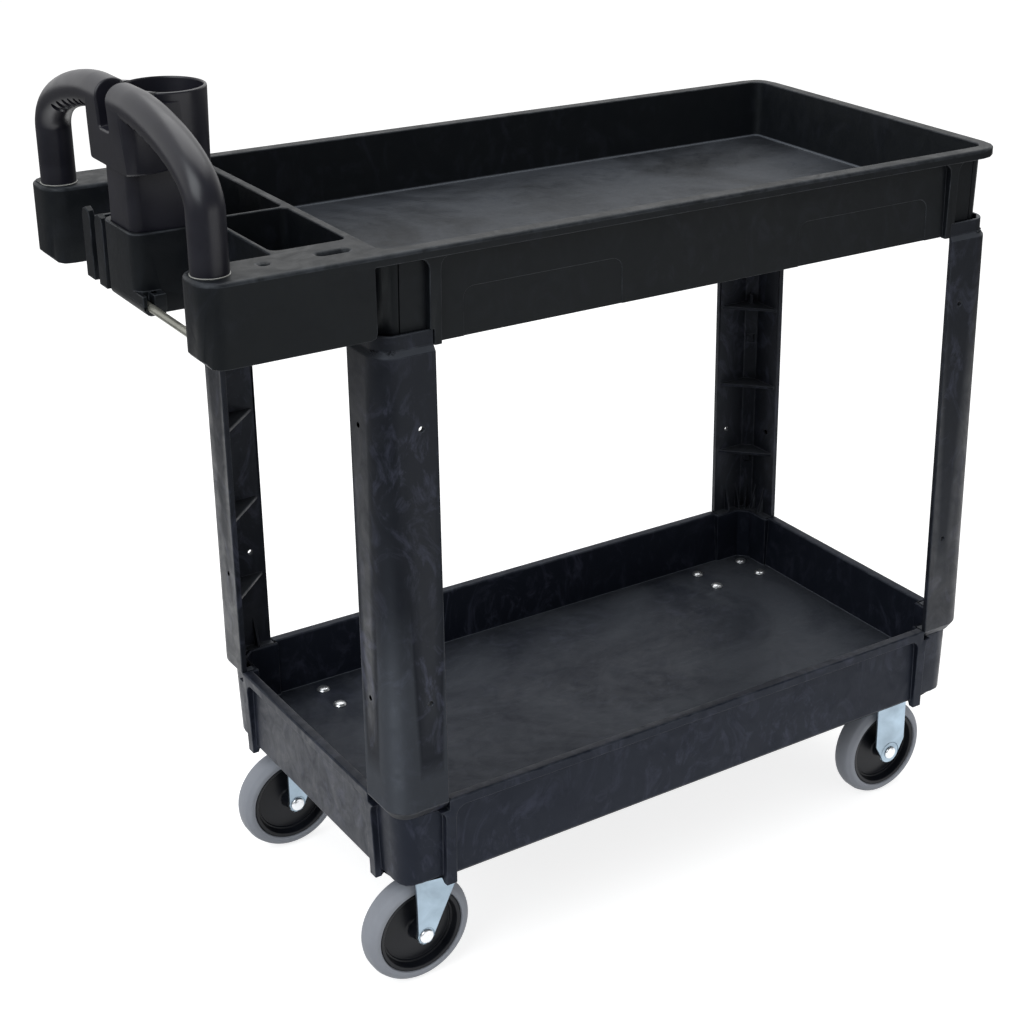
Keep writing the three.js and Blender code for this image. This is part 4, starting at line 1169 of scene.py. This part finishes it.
class CART_OT_forks(bpy.types.Operator):
    """Makes the swivelling forks and the rigid brackets with their pressed shoulders"""

    bl_idname = "cart.forks"
    bl_label = "Forks and brackets"

    # millimetres
    shoulder_radius, edge_radius = 2.6, 0.6
    leg_thick = 3.0
    head_depth = 3.5  # of the axle bolt's head, which lies against the fork
    bore = 4.25

    def execute(self, context):
        for side in SIDES:
            for node in (f"swivel_rear_{side}_fork", f"rigid_front_{side}_bracket"):
                low, high = box_mm(node)

                def radius_of(edge, low=low, high=high):
                    a, b = (v.co for v in edge.verts)
                    top = min(a.z, b.z) > high.z - 0.2
                    along = abs(a.y - b.y) < 0.1 and min(abs(a.y - low.y), abs(a.y - high.y)) < 0.2
                    return self.shoulder_radius if top and along and "fork" in node else self.edge_radius

                finished(f"{node}_steel", carved(welded(node), self.eyes(node)), node, radius_of=radius_of)
        return {"FINISHED"}

    def eyes(self, node):
        """Round eyes on the feet of a fork's legs, with the axle's bore through them."""
        caster = node.rsplit("_", 1)[0]
        centre = axis_mm(f"{caster}_axle_bolt", "Y")
        head = box_mm(f"{caster}_axle_bolt")[0].y + self.head_depth
        nut = box_mm(f"{caster}_axle_nut")[0].y
        middle = (nut + head) / 2
        outer = (nut - head) / 2 - 0.25
        radius = centre[2] - box_mm(node)[0].z + 0.12
        steps = []
        for side in (-1, 1):
            span = sorted((middle + side * (outer - self.leg_thick), middle + side * outer))
            steps.append(("UNION", turned(bar(radius, *span), 64, "Y", centre)))
        past = outer + 2
        steps.append(("DIFFERENCE", turned(bar(self.bore, middle - past, middle + past), 40, "Y", centre)))
        return steps


class CART_OT_axles(bpy.types.Operator):
    """Makes the axle bolts with their domed heads, the nuts and the spanner sleeves"""

    bl_idname = "cart.axles"
    bl_label = "Axles"

    def execute(self, context):
        for name in CASTERS:
            centre = axis_mm(f"{name}_axle_bolt", "Y")
            node = f"{name}_axle_bolt"
            low, high = (corner.y for corner in box_mm(node))
            shank, under = 4, low + 3.5
            dome = [(0, low), (4.6, low + 0.3), (7.8, low + 1.6), (8.6, under)]
            profile = [*dome, *bar(shank, under, high)[1:]]
            rounded = filleted(profile, [0, 6.0, 2.0, 0.4, 0, 0.5, 0], 4, False)
            finished(f"{node}_steel", turned(rounded, 40, "Y", centre), node, finish="bolt_steel")
            node = f"{name}_axle_nut"
            finished(f"{node}_steel", welded(node), node, radius_of=lambda edge: 0.4, segments=2)
            node = f"{name}_sleeve"
            low, high = box_mm(node)
            inner, outer = 4.25, (high.z - low.z) / 2
            tube = [(inner, low.y), (outer, low.y), (outer, high.y), (inner, high.y), (inner, low.y)]
            finished(f"{node}_steel", turned(tube, 40, "Y", centre), node)
        return {"FINISHED"}


class CART_OT_wheels(bpy.types.Operator):
    """Makes each wheel's dished core and its grey tyre"""

    bl_idname = "cart.wheels"
    bl_label = "Wheels"

    def execute(self, context):
        segments = context.scene.cart_casters.segments
        for name in CASTERS:
            low, high = box_mm(f"{name}_tyre")
            centre = (low + high) / 2
            radius = (high.z - low.z) / 2
            half = (high.y - low.y) / 2
            hub = box_mm(f"{name}_wheel_core")
            for node, piece, half_profile, sharp in (
                ("tyre", "tyre_rubber", self.tyre(radius, half), 50.0),
                ("wheel_core", "core_plastic", self.core(radius - 13.15, (hub[1].y - hub[0].y) / 2), 45.0),
            ):
                closed = [*half_profile, *((r, -h) for r, h in reversed(half_profile)), half_profile[0]]
                wheel = turned(closed, segments, "Y", centre)
                finished(f"{name}_{piece}", wheel, f"{name}_{node}", sharp=sharp)
        return {"FINISHED"}

    def tyre(self, radius, half):
        """Half the tyre's profile, from its seat on the core out to the middle of the tread."""
        profile = [
            (radius - 13, half - 1.5),
            (radius - 12, half),
            (radius - 7.5, half),
            (radius - 1.8, half * 0.66),
            (radius, half * 0.3),
        ]
        return filleted(profile, [0, 0.8, 7.0, 6.0, 8.0], 5, False)

    def core(self, rim, hub):
        """Half the core's profile: its hub, the thin dished disc and the rim under the tyre."""
        profile = [
            (6.25, hub),
            (10.5, hub),
            (12.5, 5.0),
            (rim - 9.5, 3.5),
            (rim - 8.5, 5.5),
            (rim - 6.8, 5.5),
            (rim - 4.6, 13.8),
            (rim - 1.0, 14.5),
            (rim, 13.5),
        ]
        return filleted(profile, [0, 1.0, 3.0, 0.6, 0.5, 0.6, 1.5, 0.8, 0], 4, False)


class CART_OT_caster_bolts(bpy.types.Operator):
    """Scatters the sixteen domed bolts that hold the casters, each with its nut"""

    bl_idname = "cart.caster_bolts"
    bl_label = "Caster bolts"

    def execute(self, context):
        settings = context.scene.cart_casters
        nodes = [name for name in frame["nodes"] if name.startswith("bolt_")]
        low, high = box_mm(nodes[0])
        pattern = loose_object(self.bolt(settings.bolt_head / 2, low.z, high.z), "bolt")
        to_metres(pattern.data)
        for face in pattern.data.polygons:
            face.use_smooth = True
        pattern.data.set_sharp_from_angle(angle=math.radians(40.0))
        places = bmesh.new()
        for node in nodes:
            a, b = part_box(node)
            places.verts.new(((a.x + b.x) / 2, (a.y + b.y) / 2, 0.0))
        host = loose_object(places, "caster_bolts")
        modifier = host.modifiers.new("Scatter", "NODES")
        modifier.node_group = self.tree()
        sockets = {item.name: item.identifier for item in modifier.node_group.interface.items_tree
                   if item.item_type == "SOCKET" and item.in_out == "INPUT"}
        modifier[sockets["Bolt"]] = pattern
        modifier[sockets["Seed"]] = settings.bolt_seed
        modifier[sockets["Turn"]] = 2 * math.pi
        modifier[sockets["Finish"]] = finish_of("bolt_steel")
        mesh = evaluated(host)
        bpy.data.objects.remove(pattern)
        placed("caster_bolts", mesh, "bolt_steel", nodes)
        return {"FINISHED"}

    def bolt(self, head, low, high):
        """One bolt with its domed head and its six-sided nut."""
        under, top = high - 3.2, high + 0.8
        dome = [(head, under), (head, under + 0.5), (head * 0.72, top - 1.0), (0, top)]
        profile = [*bar(3.2, low, under)[:3], *dome]
        shank = turned(filleted(profile, [0, 0.4, 0, 0.2, 0.8, 6.0, 0], 3, False), 24)
        nut = turned(bar(6.0, low + 1.8, low + 6.9), 6)
        return joined([shank, nut])

    def tree(self):
        """Bolts on the host's points, each turned by a random share of Turn."""
        tree = bpy.data.node_groups.new("Caster bolts", "GeometryNodeTree")
        names = ("Geometry", "Bolt", "Turn", "Seed", "Finish")
        for name, kind in zip(names, ("Geometry", "Object", "Float", "Int", "Material")):
            tree.interface.new_socket(name, in_out="INPUT", socket_type=f"NodeSocket{kind}")
        tree.interface.new_socket("Geometry", in_out="OUTPUT", socket_type="NodeSocketGeometry")
        given = tree.nodes.new("NodeGroupInput").outputs
        shape = add(tree, "GeometryNodeObjectInfo", {"Object": given["Bolt"]}).outputs["Geometry"]
        turn = tree.nodes.new("FunctionNodeRandomValue")
        tree.links.new(given["Turn"], turn.inputs[3])
        tree.links.new(given["Seed"], turn.inputs["Seed"])
        angle = add(tree, "ShaderNodeCombineXYZ", {"Z": turn.outputs[1]}).outputs["Vector"]
        rotation = add(tree, "FunctionNodeEulerToRotation", {"Euler": angle}).outputs["Rotation"]
        inputs = {"Points": given["Geometry"], "Instance": shape, "Rotation": rotation}
        copies = add(tree, "GeometryNodeInstanceOnPoints", inputs).outputs["Instances"]
        real = add(tree, "GeometryNodeRealizeInstances", {"Geometry": copies}).outputs["Geometry"]
        dressed = add(tree, "GeometryNodeSetMaterial", {"Geometry": real, "Material": given["Finish"]})
        output = tree.nodes.new("NodeGroupOutput")
        tree.links.new(dressed.outputs["Geometry"], output.inputs["Geometry"])
        return tree


class CART_OT_stage(bpy.types.Operator):
    """Makes the pale floor, the lamps, the world and the camera"""

    bl_idname = "cart.stage"
    bl_label = "Stage"

    # metres and watts
    lamps = {
        "Key lamp": {"place": (-2.3, -1.0, 2.6), "size": (2.2, 2.2), "watts": 54.0, "colour": COOL},
        "Top lamp": {"place": (0.5, 0.6, 3.0), "size": (2.6, 2.6), "watts": 40.0, "colour": WHITE},
        "Fill lamp": {"place": (1.0, -3.4, 0.45), "size": (4.0, 0.8), "watts": 19.0, "colour": WHITE},
    }
    aim = Vector((0.0, 0.0, 0.5))  # what the lamps shine at
    sky_level = 0.55  # how strongly the world lights the cart
    dim_level = 0.12  # how bright a gloss sees it on the camera's side
    floor_half = 12.0
    floor_drop = 0.0005
    floor_grey = 0.5
    floor_glow = 0.78  # what the lamps leave to bring the floor to white for the camera
    floor_fade = (0.9, 2.2)  # from where to where a gloss loses sight of the lit floor
    sensor = 36.0

    def execute(self, context):
        scene = context.scene
        settings = scene.cart_stage
        scene.view_settings.view_transform = "Standard"
        self.make_world(scene)
        self.make_floor(scene)
        for name, sizes in self.lamps.items():
            self.make_lamp(name, **sizes)
        self.make_camera(scene, settings)
        return {"FINISHED"}

    def rays(self, tree):
        """1 for camera rays and 1 for rays off a gloss or through glass, 0 for what lights the cart."""
        path = tree.nodes.new("ShaderNodeLightPath").outputs
        gloss = maths(tree, "MAXIMUM", path["Is Glossy Ray"], path["Is Transmission Ray"])
        return path["Is Camera Ray"], gloss

    def make_world(self, scene):
        """White to the camera, and to a gloss white behind the cart and dim on the camera's side."""
        world = bpy.data.worlds.new("Studio")
        scene.world = world
        world.use_nodes = True
        tree = world.node_tree
        tree.nodes.clear()
        camera, gloss = self.rays(tree)
        ahead = split(tree, tree.nodes.new("ShaderNodeTexCoord").outputs["Generated"])["Y"]
        sweep = ranged(tree, ahead, -0.35, 0.45, self.dim_level, 1.0)
        lit = add(tree, "ShaderNodeMix", {0: gloss, 2: self.sky_level, 3: sweep}).outputs[0]
        strength = maths(tree, "MAXIMUM", lit, camera)
        background = add(tree, "ShaderNodeBackground", {"Color": solid_colour(WHITE), "Strength": strength})
        output = tree.nodes.new("ShaderNodeOutputWorld")
        tree.links.new(background.outputs[0], output.inputs["Surface"])

    def make_floor(self, scene):
        """White to the camera but for the cart's shadow; a gloss sees it fade away from the cart."""
        mesh = bpy.data.meshes.new("floor")
        build = bmesh.new()
        bmesh.ops.create_grid(build, x_segments=1, y_segments=1, size=self.floor_half)
        build.to_mesh(mesh)
        build.free()
        floor = bpy.data.objects.new("floor", mesh)
        floor.location.z = -self.floor_drop
        scene.collection.objects.link(floor)
        material, tree = new_material("pale_floor")
        camera, gloss = self.rays(tree)
        reach = add(tree, "ShaderNodeVectorMath", {0: place_of(tree)}, operation="LENGTH").outputs["Value"]
        near = ranged(tree, reach, *self.floor_fade, 1.0, 0.1)
        hidden = maths(tree, "MULTIPLY", gloss, maths(tree, "SUBTRACT", 1.0, near))
        shade = maths(tree, "MULTIPLY", self.floor_grey, maths(tree, "SUBTRACT", 1.0, hidden))
        grey = add(tree, "ShaderNodeCombineColor", {0: shade, 1: shade, 2: shade}).outputs[0]
        seen = maths(tree, "MULTIPLY", camera, self.floor_glow)
        glow = maths(tree, "ADD", seen, maths(tree, "MULTIPLY", gloss, near))
        diffuse = add(tree, "ShaderNodeBsdfDiffuse", {"Color": grey}).outputs[0]
        emission = add(tree, "ShaderNodeEmission", {"Strength": glow}).outputs[0]
        finish_material(tree, add(tree, "ShaderNodeAddShader", {0: diffuse, 1: emission}))
        mesh.materials.append(material)

    def make_lamp(self, name, place, size, watts, colour):
        data = bpy.data.lights.new(name, "AREA")
        data.shape = "RECTANGLE"
        data.size, data.size_y = size
        data.energy = watts
        data.color = colour
        lamp = bpy.data.objects.new(name, data)
        lamp.location = place
        lamp.rotation_euler = (self.aim - lamp.location).to_track_quat("-Z", "Y").to_euler()
        bpy.context.scene.collection.objects.link(lamp)

    def make_camera(self, scene, settings):
        data = bpy.data.cameras.new("Camera")
        data.sensor_width = self.sensor
        data.lens = settings.lens
        data.shift_x, data.shift_y = settings.shift
        camera = bpy.data.objects.new("Camera", data)
        turn, tilt, roll = settings.heading
        aim = Euler((math.pi / 2 - tilt, 0.0, -turn)).to_matrix() @ Matrix.Rotation(roll, 3, "Z")
        camera.matrix_world = Matrix.Translation(settings.place) @ aim.to_4x4()
        scene.collection.objects.link(camera)
        scene.camera = camera


class CART_PT_panel(bpy.types.Panel):
    """Lists the cart's settings and the pieces to make"""

    bl_idname = "CART_PT_panel"
    bl_label = "Utility Cart"
    bl_space_type = "VIEW_3D"
    bl_region_type = "UI"
    bl_category = "Utility Cart"

    def draw(self, context):
        for group in SETTINGS:
            settings = getattr(context.scene, group)
            column = self.layout.column()
            for name in settings.__annotations__:
                column.prop(settings, name)
        for operator in OPERATORS:
            self.layout.operator(operator.bl_idname)


SETTINGS = {
    "cart_plastic": CartPlasticSettings,
    "cart_handle": CartHandleSettings,
    "cart_casters": CartCasterSettings,
    "cart_stage": CartStageSettings,
}
OPERATORS = (
    CART_OT_stage,
    CART_OT_top_shelf,
    CART_OT_bottom_shelf,
    CART_OT_legs,
    CART_OT_handle,
    CART_OT_hanger_rod,
    CART_OT_caster_mounts,
    CART_OT_forks,
    CART_OT_axles,
    CART_OT_wheels,
    CART_OT_caster_bolts,
)


def register():
    for kind in (*SETTINGS.values(), *OPERATORS, CART_PT_panel):
        bpy.utils.register_class(kind)
    for name, kind in SETTINGS.items():
        setattr(bpy.types.Scene, name, bpy.props.PointerProperty(type=kind))


def unregister():
    for name in SETTINGS:
        delattr(bpy.types.Scene, name)
    for kind in reversed((*SETTINGS.values(), *OPERATORS, CART_PT_panel)):
        bpy.utils.unregister_class(kind)


def main():
    register()
    bpy.ops.cart.stage()
    bpy.ops.cart.top_shelf()
    bpy.ops.cart.bottom_shelf()
    bpy.ops.cart.legs()
    bpy.ops.cart.handle()
    bpy.ops.cart.hanger_rod()
    bpy.ops.cart.caster_mounts()
    bpy.ops.cart.forks()
    bpy.ops.cart.axles()
    bpy.ops.cart.wheels()
    bpy.ops.cart.caster_bolts()


if __name__ == "__main__":
    main()
